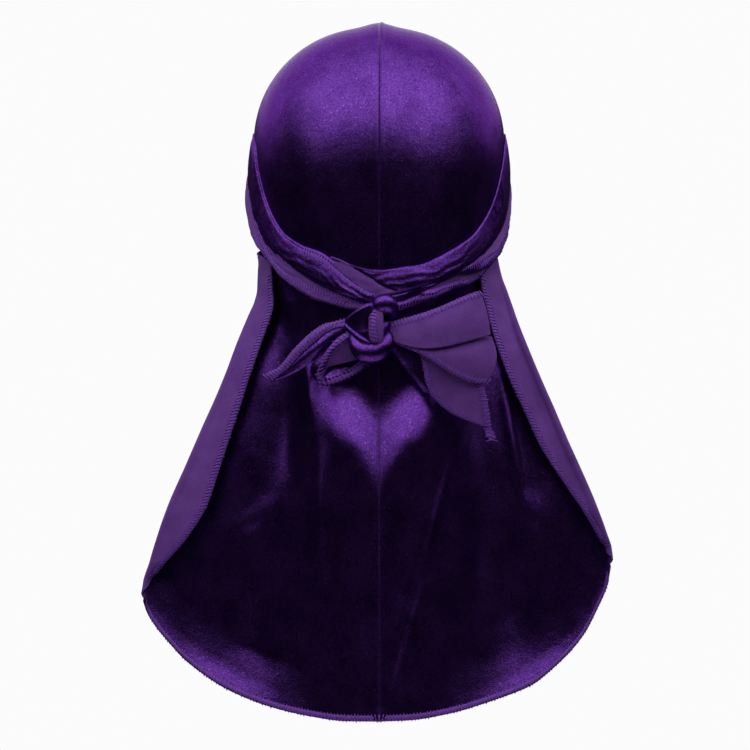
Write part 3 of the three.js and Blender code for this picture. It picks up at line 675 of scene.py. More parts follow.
def crownRelief(turn, z):
    top = head["widest"] + head["height"]
    x = head["halfWidth"] * girth(z) * np.sin(np.radians(turn))
    clear = clearOfTies(turn, z)
    lift = panels["seamPeak"] * bell(x / panels["seamPeakWidth"]) * smooth(head["ringMiddle"], top, z) * clear
    groove = panels["seamGroove"] * bell(x / panels["seamGrooveWidth"])
    lift = lift - groove * smooth(*panels["seamGrooveFade"], np.abs(z - top))
    lip = bell((x - panels["seamLipPlace"]) / panels["seamLipWidth"])
    lift = lift + panels["seamLip"] * lip  # the seam allowance lies to the right
    flare = head["earFlapFlare"] * earFlap(turn)
    lift = lift + flare * np.maximum(0, ringLevel(turn) - head["earFlapFrom"] * head["rimDrop"] - z)
    for gather in crownGathers:
        side = (turn - gather["turn"]) / gather["spread"]
        level = ((z - head["ringMiddle"]) / head["height"] - gather["at"]) / gather["fade"]
        lift = lift + gather["rise"] * bell(side) * bell(level) * clear
    return lift


def crownPoint(side, turn, share):
    rim = rimLevel(side * turn)
    top = head["widest"] + head["height"]
    above = np.arccos(np.clip((rim - head["widest"]) / head["height"], 0, 1) ** (head["roundness"] / 2))
    rimAngle = np.where(rim > head["widest"], above, math.pi / 2 + (head["widest"] - rim) / head["height"])
    angle = share * rimAngle
    over = head["widest"] + head["height"] * np.clip(np.cos(angle), 0, 1) ** (2 / head["roundness"])
    under = head["widest"] - (angle - math.pi / 2) * head["height"]
    z = np.where(share <= 0, top, np.where(angle < math.pi / 2, over, under))
    return onHead(side * turn, z, crownRelief(side * turn, np.minimum(z, top - 0.01)))


def tableSide(side, left, right):
    return left if side < 0 else right


def rollOf(side, down):
    return panels["rollWidth"] * between(tailOutline, "drop", tableSide(side, "rollLeft", "rollRight"), down)


def curlShare(side, down):
    return np.minimum(1, rollOf(side, down) / (0.5 * panels["rollWidth"]))


def curlRoom(side, down):
    return (panels["rollReach"] * panels["rollRadius"] + panels["sourceThickness"]) * curlShare(side, down)


def tailHalf(side, down):
    outline = between(tailOutline, "drop", tableSide(side, "left", "right"), down)
    return panels["tailHalfWidth"] * outline - curlRoom(side, down)


def hemLevel(side, across):
    corner = tableSide(side, panels["leftCorner"], panels["rightCorner"])
    share = between(hemOutline, "across", tableSide(side, "left", "right"), across)
    return mix(corner, rimLevel(0) - panels["tailDrop"], share)


def tailPoint(side, across, down):
    turn = panels["tailTurn"] * across
    rim = onHead(side * turn, rimLevel(side * turn))
    z = mix(rim[..., 2], hemLevel(side, across), down)
    around = np.sin(np.radians(turn)) / math.sin(math.radians(panels["tailTurn"]))
    hanging = smooth(0, 0.34, down)
    x = tailHalf(side, down) * mix(around, across, hanging)
    nape = onHead(0.0, rimLevel(0.0))[..., 1]
    steady = panels["cornerSwing"] * np.maximum(down, 0) ** panels["cornerSwingCurve"]
    beside = between(tailSwing, "down", "beside", down)
    below = between(tailSwing, "down", "below", down)
    start = swell["start"] - swell["slope"] * (np.sqrt(across**2 + swell["round"] ** 2) - swell["round"])
    length = swell["length"] + swell["taper"] * bell(across / swell["taperWidth"])
    rising = np.clip((down - start) / length, 0, 1) ** swell["quick"]
    step = swell["rise"] / panels["tailSweep"] * smooth(0, 1, rising)
    swung = mix(below + step, beside, smooth(swell["width"], swell["fade"], across))
    nearEdge = smooth(0.6, 1.0, across) * smooth(1.1, 0.6, down) * smooth(0.1, 0.5, down)
    sweep = panels["tailSweep"] * mix(swung, steady, nearEdge)
    hung = nape - sweep + panels["tailWrap"] * across**2 * mix(panels["wrapTop"], panels["wrapBottom"], down)
    y = mix(rim[..., 1], hung, hanging)
    for fold in tailFolds:
        offset = (side * across - fold["across"]) / fold["spread"]
        level = (down - fold["at"]) / fold["fade"]
        y = y - fold["rise"] * panels["tailSweep"] * bell(offset) * bell(level) * smooth(0, 0.1, down)
    level = (rimLevel(0.0) - z) / panels["tailDrop"]
    for fold in hangingFolds:
        way = (level - fold["start"]) / (fold["end"] - fold["start"])
        middle = mix(fold["top"], fold["bottom"], way)
        offset = (side * x / panels["tailHalfWidth"] - middle) / fold["spread"]
        y = y - fold["rise"] * bell(offset) * smooth(0, 0.55, way) * smooth(1, 0.6, way)
    groove = panels["seamGroove"] * bell(x / panels["seamGrooveWidth"])
    groove = groove * smooth(0, 0.1, down) * smooth(1, 0.97, down)  # none at the hem
    hung = points(side * x, y + groove, z)
    rim = crownPoint(side, turn, np.ones_like(turn))
    return mix(rim, hung, smooth(0, 0.05, down)[..., None])


def besideEdge(side, distance, down):  # on the tail, level with its edge
    edge = tailPoint(side, np.ones_like(down), down)
    across = distance / (side * edge[..., 0])
    for _ in range(3):
        rim = rimLevel(side * panels["tailTurn"] * across)
        share = (rim - edge[..., 2]) / (rim - hemLevel(side, across))
        across = distance / tailHalf(side, share)
    place = tailPoint(side, across, share)
    return points(side * distance, place[..., 1], edge[..., 2])


def curlRadius(side, down):
    return np.maximum(panels["leastRadius"], panels["rollRadius"] * curlShare(side, down))


def curlPoint(side, down, length):
    radius = curlRadius(side, down)
    bent = np.minimum(length, math.pi * radius)
    half = side * tailPoint(side, np.ones_like(down), down)[..., 0]
    distance = half - (length - bent)
    slope = 2 * panels["tailWrap"] * distance / half**2
    away = unit(points(side, slope, 0))
    towards = points(side * away[..., 1], -side * away[..., 0], 0)
    angle = (bent / radius)[..., None]
    place = besideEdge(side, distance, down)
    radius = radius[..., None]
    return place + away * radius * np.sin(angle) + towards * radius * (1 - np.cos(angle))


def curlLength(side, share, down):  # share is 1 at the cloth's edge
    radius = curlRadius(side, down)
    shown = rollOf(side, down) - curlRoom(side, down) + panels["rollLean"] * radius
    length = np.maximum(1.0, math.pi * radius + shown)
    return share * length * smooth(0, 0.05, down) * smooth(1.0, panels["curlEnd"], down)


def columnShare(t):  # columns lie closer together at both ends
    return mix(t, smooth(0, 1, t), 0.5)


def panelPatches(side):
    tailTurn = panels["tailTurn"]
    crownBack = lambda u, v: crownPoint(side, tailTurn * columnShare(u), v)
    crownFront = lambda u, v: crownPoint(side, mix(tailTurn, 180, u), v)
    tail = lambda u, v: tailPoint(side, columnShare(u), v)
    curl = lambda u, v: curlPoint(side, v, curlLength(side, u, v))

    def parted(shape):  # neither half crosses the middle
        def moved(u, v):
            place = shape(u, v)
            place[:, 0] = side * np.maximum(side * place[:, 0], 0)
            return place

        return moved

    rows, tailRows = panels["crownRows"], panels["tailRows"]
    edgeColumns = panels["curlColumns"] + panels["flatColumns"]
    return {
        "crownBack": (parted(crownBack), panels["backColumns"], rows, 0, (0.12, 0.2)),
        "crownFront": (parted(crownFront), panels["frontColumns"], rows, 0, (0.14, 0.15)),
        "tail": (parted(tail), panels["backColumns"], tailRows, 0, (0.14, 0.25)),
        "curl": (curl, edgeColumns, tailRows, 0, (0.025, 0.25)),
    }


def panelObject(side, name, node):
    patches = panelPatches(side)
    made = clothObject(name, patches.values(), panels["thickness"], [velvet, lining], awayFromHead)
    made.modifiers["wall"].material_offset = 1
    made.modifiers["wall"].material_offset_rim = 1
    wall = panels["thickness"]
    hems = [
        hem(patches["tail"][0], "across", 1.0, 0.0, 0.98, wall, backwards),
        hem(patches["curl"][0], "down", 1.0, 0.08, 0.93, wall, forwards),
        hem(patches["crownFront"][0], "across", 1.0, 0.12, 1.0, wall, awayFromHead),
    ]
    stitches = stitchObject(name + "Overlock", hems, thread)
    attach(made, "root")
    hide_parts(node)
    return made, stitches


panelLeft, panelLeftOverlock = panelObject(-1, "panelLeft", "panel_left")
panelRight, panelRightOverlock = panelObject(1, "panelRight", "panel_right")
print("panels made")


# Ties: ribbons on the head. A row for each place along a ribbon, in degrees round from the nape: the levels
# of its upper edge, of the fold between its two faces and of its lower edge, in shares of tieWidth off the
# ring, and how far its edges stand off the head in millimetres.

ties = {
    "thickness": 0.8,
    "columnsPerDegree": 1.1,
    "rowsAcross": 22,
    "hiddenRows": 12,  # of each layer that is folded under
    "hiddenFrom": 0.25,  # share of the width, from the upper edge, that the folded layers stop short of
    "middleDepth": 0.75,  # of the layer under the outer one, as a share of the way down to the head
    "innerDepth": 0.95,
    "innerEnd": 0.93,
    "turnBack": 0.2,  # share of a layer over which it turns into the next one
    "floor": 0.1,
    "crest": 0.72,  # share of the width, from the upper edge, where a tie stands out furthest
    "lean": 2.0,  # how much further its lower edge stands out
    "pleat": 0.3,
    "pleatPitch": 4.6,
    "crease": 0.5,
    "creaseWidth": 1.2,
    "fullPuff": 12,  # width from which a tie stands off the head in full
}
tieColumns = ("turn", "top", "fold", "bottom", "lift")

tieLeftBand = {
    "above": 1,
    "below": 0,
    "puff": 2.4,
    "rows": named(tieColumns, [
        (-112, 0.39, 0.39, -0.31, 1.0),
        (-100, 0.46, 0.46, -0.33, 1.0),
        (-88, 0.72, 0.72, -0.32, 1.0),
        (-79, 0.88, 0.88, -0.28, 1.0),
        (-73, 0.86, 0.86, -0.25, 1.1),
        (-70, 0.62, 0.62, -0.24, 1.1),
        (-66, 0.39, 0.39, -0.23, 1.1),
        (-58, 0.20, 0.20, -0.22, 1.1),
        (-50, 0.135, 0.135, -0.18, 1.2),
        (-39, 0.145, 0.145, -0.17, 2.2),
        (-30, 0.175, 0.175, -0.18, 3.6),
        (-24, 0.145, 0.145, -0.19, 4.4),
        (-20, 0.09, 0.09, -0.2, 4.8),
        (-16, 0.02, 0.02, -0.22, 5.0),
        (-11, -0.06, -0.06, -0.25, 5.0),
        (-5, -0.13, -0.13, -0.28, 4.4),
        (2, -0.14, -0.14, -0.3, 2.8),
        (12, -0.1, -0.1, -0.28, 1.2),
        (28, -0.04, -0.05, -0.2, 1.0),
        (38, -0.04, -0.07, -0.19, 2.2),
        (48, -0.085, -0.15, -0.27, 3.0),
        (57, -0.12, -0.23, -0.37, 3.2),
        (66, -0.165, -0.29, -0.42, 3.2),
        (76, -0.14, -0.33, -0.45, 3.2),
        (88, 0.0, -0.32, -0.4, 3.2),
        (104, 0.2, -0.05, -0.24, 3.2),
        (120, 0.32, 0.28, -0.09, 3.2),
        (150, 0.38, 0.37, 0.05, 3.0),
        (180, 0.39, 0.38, 0.06, 3.4),
        (210, 0.37, 0.36, 0.04, 4.6),
        (240, 0.28, 0.2, -0.12, 5.0),
        (262, 0.2, -0.1, -0.24, 3.6),
        (276, 0.1, -0.25, -0.27, 3.6),
        (288, -0.04, -0.29, -0.3, 4.2),
        (294, -0.13, -0.29, -0.3, 5.1),
        (300, -0.2, -0.31, -0.32, 5.2),
        (307, -0.24, -0.34, -0.35, 5.3),
        (320, -0.245, -0.36, -0.37, 5.4),
        (330, -0.22, -0.37, -0.38, 5.4),
        (340, -0.21, -0.37, -0.38, 5.2),
        (350, -0.235, -0.38, -0.39, 4.6),
        (357, -0.28, -0.38, -0.39, 4.0),
    ]),
    "stitches": [("underFold", -36, -1), ("underFold", 36, 104), ("top", 268, 352), ("fold", 284, 356)],
}

tieRightBand = {
    "above": 0,
    "below": 1,
    "puff": 2.4,
    "rows": named(tieColumns, [
        (-42, 0.09, 0.088, -0.04, 0.3),
        (-36, 0.125, 0.123, -0.04, 0.3),
        (-29, 0.165, 0.163, -0.05, 0.3),
        (-20, 0.16, 0.155, -0.12, 0.7),
        (-14, 0.135, 0.11, -0.2, 1.0),
        (-8, 0.115, 0.055, -0.26, 1.2),
        (-3, 0.105, -0.01, -0.29, 1.4),
        (0, 0.105, -0.06, -0.28, 1.6),
        (4, 0.11, -0.11, -0.22, 1.9),
        (8, 0.12, -0.15, -0.18, 2.0),
        (12, 0.125, -0.17, -0.175, 2.1),
        (19, 0.115, -0.15, -0.155, 2.2),
        (28, 0.135, -0.155, -0.16, 2.1),
        (38, 0.15, -0.18, -0.19, 1.5),
        (48, 0.15, -0.19, -0.2, 1.1),
        (56, 0.2, -0.2, -0.21, 1.0),
        (62, 0.27, -0.21, -0.22, 1.0),
        (68, 0.42, -0.22, -0.23, 1.0),
        (72, 0.62, -0.24, -0.25, 1.0),
        (78, 0.82, -0.26, -0.27, 1.0),
        (88, 0.75, -0.3, -0.31, 1.0),
        (100, 0.52, -0.31, -0.32, 1.0),
        (112, 0.4, -0.31, -0.32, 1.0),
    ]),
    "stitches": [],
}

tieRightReturn = {
    "above": 1,
    "below": 0,
    "puff": 1.4,
    "rows": named(tieColumns, [
        (1, -0.13, -0.27, -0.43, 1.6),
        (9, -0.14, -0.26, -0.4, 1.3),
        (24, -0.13, -0.23, -0.35, 1.2),
        (38, -0.16, -0.275, -0.36, 1.3),
        (48, -0.24, -0.36, -0.43, 1.5),
        (57, -0.3, -0.43, -0.47, 1.8),
        (70, -0.26, -0.46, -0.49, 2.0),
        (88, -0.1, -0.38, -0.42, 2.0),
        (112, 0.06, 0.02, -0.3, 2.2),
        (140, -0.02, -0.04, -0.36, 3.0),
        (180, -0.05, -0.06, -0.39, 3.2),
        (220, -0.02, -0.04, -0.37, 3.0),
        (244, 0.14, 0.0, -0.34, 3.0),
        (264, 0.12, -0.2, -0.3, 2.4),
        (284, -0.02, -0.28, -0.3, 2.5),
        (295, -0.13, -0.29, -0.3, 3.3),
        (306, -0.1, -0.3, -0.31, 3.7),
        (323, -0.1, -0.31, -0.32, 3.9),
        (336, -0.13, -0.3, -0.31, 3.9),
        (350, -0.115, -0.28, -0.3, 3.7),
        (357, -0.16, -0.28, -0.3, 3.2),
    ]),
    "stitches": [("bottom", 6, 57), ("top", 270, 354)],
}


def ribbonPoint(band, turn, v, under=0.0):
    # v is 0 at the upper edge, 0.5 at the fold and 1 at the lower edge; under is 0 outside and 1 on the head
    rows = band["rows"]
    top = between(rows, "turn", "top", turn)
    fold = between(rows, "turn", "fold", turn)
    bottom = between(rows, "turn", "bottom", turn)
    level = np.where(v < 0.5, mix(top, fold, 2 * v), mix(fold, bottom, 2 * v - 1))
    share = (top - level) / (top - bottom)
    width = head["tieWidth"] * (top - bottom)
    crest = ties["crest"]
    rounded = np.where(
        share < crest,
        np.sin(0.5 * math.pi * np.clip(share / crest, 0, 1)),
        np.sqrt(np.clip(1 - ((share - crest) / (1 - crest)) ** 2, 0, 1)),
    )
    puff = np.minimum(1, width / ties["fullPuff"]) * (band["puff"] * rounded + ties["lean"] * share)
    crease = ties["crease"] * bell((share - (top - fold) / (top - bottom)) * width / ties["creaseWidth"])
    wander = 0.3 * np.sin(turn / 7) + 0.16 * np.sin(turn / 2.3)  # of the pleats up and down the tie
    pleat = ties["pleat"] * np.sin(2 * math.pi * (share * width / ties["pleatPitch"] + wander))
    pleat = pleat * (1 + 0.5 * np.sin(turn / 4.1 + 9 * share))
    lift = between(rows, "turn", "lift", turn) + puff - crease + pleat * rounded
    return onHead(turn, ringLevel(turn) + head["tieWidth"] * level, mix(lift, ties["floor"], under))


def bandPatches(band):
    first, last = band["rows"][0]["turn"], band["rows"][-1]["turn"]
    columns = int((last - first) * ties["columnsPerDegree"])
    half = ties["rowsAcross"] // 2
    length = (last - first) * 0.0015
    upper = lambda u, v: ribbonPoint(band, mix(first, last, u), v / 2)
    lower = lambda u, v: ribbonPoint(band, mix(first, last, u), 0.5 + v / 2)

    # the tie is worn folded: from its lower edge back up, not quite to the upper one, and down on the head
    def middle(u, v):
        under = ties["middleDepth"] * (1 - smooth(1 - ties["turnBack"], 1, v))
        return ribbonPoint(band, mix(first, last, u), mix(ties["hiddenFrom"], 1, v), under)

    def inner(u, v):
        turned = smooth(ties["turnBack"], 0, v)
        under = ties["innerDepth"] - (ties["innerDepth"] - ties["middleDepth"]) * turned
        return ribbonPoint(band, mix(first, last, u), mix(ties["hiddenFrom"], 1, ties["innerEnd"] * v), under)

    hidden = ties["hiddenRows"]
    return [
        (upper, columns, half, band["above"], (length, 0.01)),
        (lower, columns, half, band["below"], (length, 0.01)),
        (middle, columns, hidden, band["below"], (length, 0.02)),
        (inner, columns, hidden, band["below"], (length, 0.02)),
    ]


def bandHems(band):
    first, last = band["rows"][0]["turn"], band["rows"][-1]["turn"]
    shape = lambda u, v: ribbonPoint(band, mix(first, last, u), v)
    hems = []
    for edge, low, high in band["stitches"]:
        at = {"top": 0.0, "fold": 0.5, "underFold": 0.5, "bottom": 1.0}[edge]
        way = 1 if edge in ("top", "underFold") else -1
        start, end = (low - first) / (last - first), (high - first) / (last - first)
        hems.append(hem(shape, "across", at, start, end, ties["thickness"], awayFromHead, way))
    return hems


def tieObject(name, node, bands):
    patches = [patch for band in bands for patch in bandPatches(band)]
    made = clothObject(name, patches, ties["thickness"], [tieVelvet, lining], awayFromHead, 0.001)
    hems = [found for band in bands for found in bandHems(band)]
    stitches = stitchObject(name + "Overlock", hems, thread)
    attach(made, "root")
    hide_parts(node)
    return made, stitches


tieLeft, tieLeftOverlock = tieObject("tieLeft", "tie_left", [tieLeftBand])
tieRight, tieRightOverlock = tieObject("tieRight", "tie_right", [tieRightBand, tieRightReturn])
print("ties made")

# Knot and free ends, in shares of size: right, up and out from the knot's middle

knotPlace = {
    "turn": -4,
    "level": -75,
    "size": 31,
    "standoff": 10.06,
    "leafThickness": 0.8,
    "layerDepth": 0.9,
    "leafGrid": (64, 28),
    "gatheredGrid": (40, 14),
    "strandGrid": (56, 40),
}
knotMiddle = onHead(float(knotPlace["turn"]), float(knotPlace["level"]), knotPlace["standoff"])


def fromKnot(right, up, out):
    return knotMiddle + knotPlace["size"] * points(right, -out, up)


def curved(rows, key, t):  # a smooth curve through evenly spaced rows
    values = np.array([row[key] for row in rows], float)
    values = np.concatenate([[2 * values[0] - values[1]], values, [2 * values[-1] - values[-2]]])
    at = np.clip(t, 0, 1) * (len(rows) - 1)
    i = np.clip(at.astype(int), 0, len(rows) - 2)
    f = at - i
    a, b, c, d = values[i], values[i + 1], values[i + 2], values[i + 3]
    return 0.5 * (2 * b + (c - a) * f + (2 * a - 5 * b + 4 * c - d) * f**2 + (3 * b - a - 3 * c + d) * f**3)


# A leaf of cloth between two edges: a row for each place along it, from where it starts.
leafColumns = ("right1", "up1", "right2", "up2", "out1", "out2", "bulge")
leafRows = {
    "stripUpper": [
        (-0.22, 0.16, -0.24, 0.07, 0.04, 0.08, 0.02),
        (-0.55, 0.135, -0.56, 0.04, 0.09, 0.14, 0.02),
        (-0.86, 0.095, -0.83, -0.07, 0.07, 0.14, 0.02),
        (-1.12, -0.06, -1.04, -0.23, 0.01, 0.09, 0.03),
        (-1.44, -0.355, -1.33, -0.48, -0.11, -0.03, 0.03),
        (-1.76, -0.74, -1.67, -0.84, -0.25, -0.19, 0.02),
        (-2.01, -0.95, -1.97, -0.99, -0.36, -0.35, 0.0),
    ],
    "stripLower": [
        (-0.24, 0.09, -0.26, -0.06, 0.05, 0.02, 0.03),
        (-0.56, 0.06, -0.5, -0.12, 0.1, 0.08, 0.05),
        (-0.83, -0.05, -0.76, -0.31, 0.1, 0.08, 0.06),
        (-1.04, -0.21, -0.97, -0.51, 0.05, 0.03, 0.06),
        (-1.33, -0.46, -1.22, -0.72, -0.07, -0.08, 0.05),
        (-1.67, -0.82, -1.57, -0.92, -0.22, -0.22, 0.03),
        (-1.95, -0.98, -1.9, -1.03, -0.37, -0.36, 0.0),
    ],
    "foldOuter": [
        (-0.28, -0.04, -0.28, -0.12, 0.06, 0.14, 0.02),
        (-0.52, -0.15, -0.48, -0.22, 0.1, 0.19, 0.03),
        (-0.83, -0.38, -0.68, -0.4, 0.08, 0.22, 0.05),
        (-1.04, -0.57, -0.8, -0.57, 0.06, 0.22, 0.06),
        (-1.15, -0.75, -0.87, -0.73, 0.03, 0.2, 0.07),
        (-1.12, -0.93, -0.9, -0.87, 0.0, 0.16, 0.07),
        (-0.99, -1.06, -0.87, -0.97, -0.02, 0.1, 0.05),
    ],
    "foldInside": [
        (-0.4, -0.14, -0.24, -0.12, 0.12, 0.1, 0.0),
        (-0.6, -0.3, -0.24, -0.26, 0.13, 0.1, -0.03),
        (-0.73, -0.45, -0.22, -0.4, 0.12, 0.08, -0.04),
        (-0.81, -0.6, -0.18, -0.5, 0.1, 0.06, -0.04),
        (-0.86, -0.76, -0.13, -0.58, 0.06, 0.04, -0.03),
    ],
    "foldHollow": [
        (-0.88, -0.84, -0.88, -0.98, -0.02, -0.02, 0.0),
        (-0.72, -0.64, -0.62, -0.96, -0.06, -0.04, -0.06),
        (-0.44, -0.52, -0.38, -0.86, -0.08, -0.04, -0.08),
        (-0.16, -0.46, -0.16, -0.72, -0.08, -0.04, -0.04),
    ],
    "foldLip": [
        (-1.04, -0.98, -1.0, -1.07, 0.03, -0.02, 0.02),
        (-0.84, -0.98, -0.83, -1.12, 0.1, -0.02, 0.04),
        (-0.6, -0.9, -0.57, -1.07, 0.1, -0.03, 0.04),
        (-0.36, -0.78, -0.31, -0.91, 0.08, -0.02, 0.03),
        (-0.14, -0.64, -0.1, -0.68, 0.05, 0.0, 0.02),
    ],
    "flapUpper": [
        (0.24, 0.08, 0.26, -0.14, 0.04, 0.14, 0.0),
        (0.56, 0.17, 0.56, -0.29, 0.12, 0.24, 0.03),
        (0.96, 0.28, 0.95, -0.385, 0.16, 0.28, 0.05),
        (1.33, 0.41, 1.35, -0.375, 0.16, 0.29, 0.06),
        (1.67, 0.56, 1.7, -0.3, 0.13, 0.27, 0.06),
        (1.94, 0.67, 2.05, -0.21, 0.09, 0.23, 0.05),
        (2.14, 0.735, 2.34, -0.13, 0.04, 0.18, 0.04),
    ],
    "flapLower": [
        (0.26, -0.12, 0.34, -0.22, 0.06, 0.12, 0.0),
        (0.56, -0.25, 0.64, -0.36, 0.13, 0.18, 0.02),
        (0.95, -0.33, 0.98, -0.5, 0.15, 0.2, 0.03),
        (1.35, -0.32, 1.33, -0.71, 0.16, 0.2, 0.06),
        (1.7, -0.24, 1.65, -0.92, 0.14, 0.17, 0.1),
        (2.08, -0.14, 1.98, -1.05, 0.1, 0.12, 0.13),
        (2.36, -0.16, 2.25, -1.09, 0.06, 0.06, 0.12),
    ],
    "layerVelvet": [
        (0.32, -0.28, 0.62, -0.28, 0.0, 0.06, 0.02),
        (0.5, -0.52, 0.98, -0.52, 0.0, 0.06, 0.04),
        (0.68, -0.77, 1.07, -0.78, -0.03, 0.02, 0.04),
        (0.86, -1.02, 1.09, -1.05, -0.06, -0.02, 0.03),
        (1.05, -1.24, 1.19, -1.28, -0.09, -0.06, 0.0),
    ],
    "layerMatte": [
        (0.98, -0.5, 2.18, -0.85, 0.09, 0.02, 0.0),
        (1.03, -0.74, 2.2, -1.08, 0.07, 0.02, -0.03),
        (1.08, -1.03, 2.25, -1.3, 0.04, 0.0, -0.05),
        (1.22, -1.33, 2.29, -1.5, 0.0, -0.02, -0.04),
        (1.58, -1.65, 2.32, -1.72, -0.04, -0.06, -0.02),
        (2.0, -1.84, 2.34, -1.87, -0.09, -0.1, 0.0),
        (2.28, -1.96, 2.35, -1.98, -0.12, -0.13, 0.0),
        (2.34, -2.17, 2.39, -2.17, -0.13, -0.13, 0.0),
    ],
    "strap": [
        (0.03, 0.44, 0.22, 0.48, 0.1, 0.08, 0.02),
        (0.01, 0.38, 0.25, 0.4, 0.34, 0.3, 0.03),
        (0.0, 0.16, 0.26, 0.16, 0.46, 0.4, 0.03),
        (0.0, -0.08, 0.26, -0.08, 0.46, 0.42, 0.03),
        (0.03, -0.24, 0.25, -0.25, 0.42, 0.38, 0.03),
        (0.07, -0.31, 0.22, -0.31, 0.26, 0.26, 0.0),
    ],
    "cheek": [
        (-0.5, 0.14, -0.47, 0.06, 0.1, 0.08, 0.0),
        (-0.37, 0.25, -0.33, -0.04, 0.3, 0.18, 0.02),
        (-0.18, 0.39, -0.15, -0.2, 0.42, 0.26, 0.03),
        (0.02, 0.48, 0.03, -0.3, 0.42, 0.3, 0.03),
        (0.12, 0.46, 0.12, -0.33, 0.3, 0.26, 0.02),
    ],
}

leaves = {name: named(leafColumns, rows) for name, rows in leafRows.items()}
leafBow = {"flapLower": 0.15, "flapUpper": 0.03}  # how far the last edge of a leaf bows to the right

# The knot's padded strands: middle, width and thickness at each place along them.
strandColumns = ("right", "up", "out", "width", "thick")
strandRows = {
    "core": [
        (-0.46, 0.06, -0.08, 0.3, 0.16),
        (-0.24, 0.0, 0.08, 0.56, 0.34),
        (0.02, -0.06, 0.12, 0.66, 0.5),
        (0.24, 0.02, 0.04, 0.5, 0.4),
        (0.44, 0.06, -0.04, 0.32, 0.16),
    ],
    "bulge": [
        (-0.34, -0.02, 0.06, 0.16, 0.18),
        (-0.26, -0.28, 0.16, 0.32, 0.3),
        (-0.1, -0.44, 0.22, 0.44, 0.38),
        (0.12, -0.44, 0.22, 0.46, 0.4),
        (0.29, -0.27, 0.18, 0.38, 0.34),
        (0.35, -0.02, 0.06, 0.22, 0.2),
    ],
    "lip": [
        (-0.5, 0.08, 0.08, 0.08, 0.1),
        (-0.34, -0.06, 0.2, 0.12, 0.14),
        (-0.16, -0.21, 0.3, 0.15, 0.16),
        (0.04, -0.32, 0.34, 0.15, 0.16),
    ],
    "loop": [
        (0.2, 0.2, 0.12, 0.24, 0.22),
        (0.2, 0.4, 0.26, 0.34, 0.3),
        (0.27, 0.48, 0.3, 0.38, 0.32),
        (0.36, 0.42, 0.24, 0.38, 0.3),
        (0.4, 0.3, 0.12, 0.28, 0.22),
        (0.34, 0.16, 0.04, 0.16, 0.14),
    ],
    "hollow": [
        (0.3, 0.5, 0.0, 0.14, 0.08),
        (0.36, 0.4, 0.02, 0.2, 0.08),
        (0.38, 0.24, 0.0, 0.16, 0.08),
    ],
}
strands = {name: named(strandColumns, rows) for name, rows in strandRows.items()}


def leafPoint(name, u, v):
    rows = leaves[name]
    right = mix(curved(rows, "right1", u), curved(rows, "right2", u), v)
    right = right + leafBow.get(name, 0) * np.sin(math.pi * v) * u**4
    up = mix(curved(rows, "up1", u), curved(rows, "up2", u), v)
    arch = np.sin(math.pi * v)
    out = mix(curved(rows, "out1", u), curved(rows, "out2", u), v) + curved(rows, "bulge", u) * arch
    ripple = 0.006 * np.sin(9 * u + 7 * v) * arch
    return fromKnot(right, up, out + ripple)


def leafPatch(name, face):
    return (lambda u, v: leafPoint(name, u, v), *knotPlace["leafGrid"], face, (0.05, 0.02))


def gatheredPatches(name, face):  # a leaf and the two layers folded behind it
    def behind(u, v, layers):
        place = leafPoint(name, u, v)
        place[:, 1] += knotPlace["layerDepth"] * layers
        return place

    outer = lambda u, v: leafPoint(name, u, v)
    middle = lambda u, v: behind(u, v, 1 - smooth(0.8, 1, v))
    inner = lambda u, v: behind(u, v, 2 - smooth(0.2, 0, v))
    grid = knotPlace["gatheredGrid"]
    return [(shape, *grid, face, (0.05, 0.02)) for shape in (outer, middle, inner)]


def leafHem(name, side, start=0.0, end=1.0):
    shape = lambda u, v: leafPoint(name, u, v)
    return hem(shape, "across", side, start, end, knotPlace["leafThickness"], backwards)


def strandPoint(rows, u, v):
    def centre(at):
        return points(*(curved(rows, key, at) for key in ("right", "up", "out")))

    step = 0.01
    middle = centre(u)
    tangent = unit(centre(u + step) - centre(u - step))
    across = unit(np.cross(tangent, np.array([0.0, 0.0, 1.0])))
    outward = unit(np.cross(across, tangent))
    closing = np.sqrt(np.maximum(0, 1 - np.abs(2 * u - 1) ** 8))
    angle = 2 * math.pi * v
    pleats = 1 + 0.02 * np.sin(3 * angle + 5 * u) + 0.01 * np.sin(7 * angle - 4 * u)
    width = curved(rows, "width", u) / 2 * closing * pleats
    thick = curved(rows, "thick", u) / 2 * closing * pleats
    place = middle + across * (width * np.cos(angle))[:, None] + outward * (thick * np.sin(angle))[:, None]
    return fromKnot(place[:, 0], place[:, 1], place[:, 2])


def strandObject(name, chosen):
    bm = bmesh.new()
    for rows in chosen:
        shapedGrid(bm, lambda u, v: strandPoint(rows, u, v), *knotPlace["strandGrid"], 0, (0.04, 0.02))
    bmesh.ops.remove_doubles(bm, verts=bm.verts, dist=0.002 * mm)
    bmesh.ops.dissolve_degenerate(bm, edges=bm.edges, dist=1e-7)
    bmesh.ops.recalc_face_normals(bm, faces=bm.faces)
    return meshObject(name, bm, [tieVelvet])


def leafObject(name, chosen, hems):
    made = clothObject(name, chosen, knotPlace["leafThickness"], [tieVelvet, lining], backwards, 0.001)
    stitches = stitchObject(name + "Overlock", hems, thread)
    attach(made, "root")
    return made, stitches


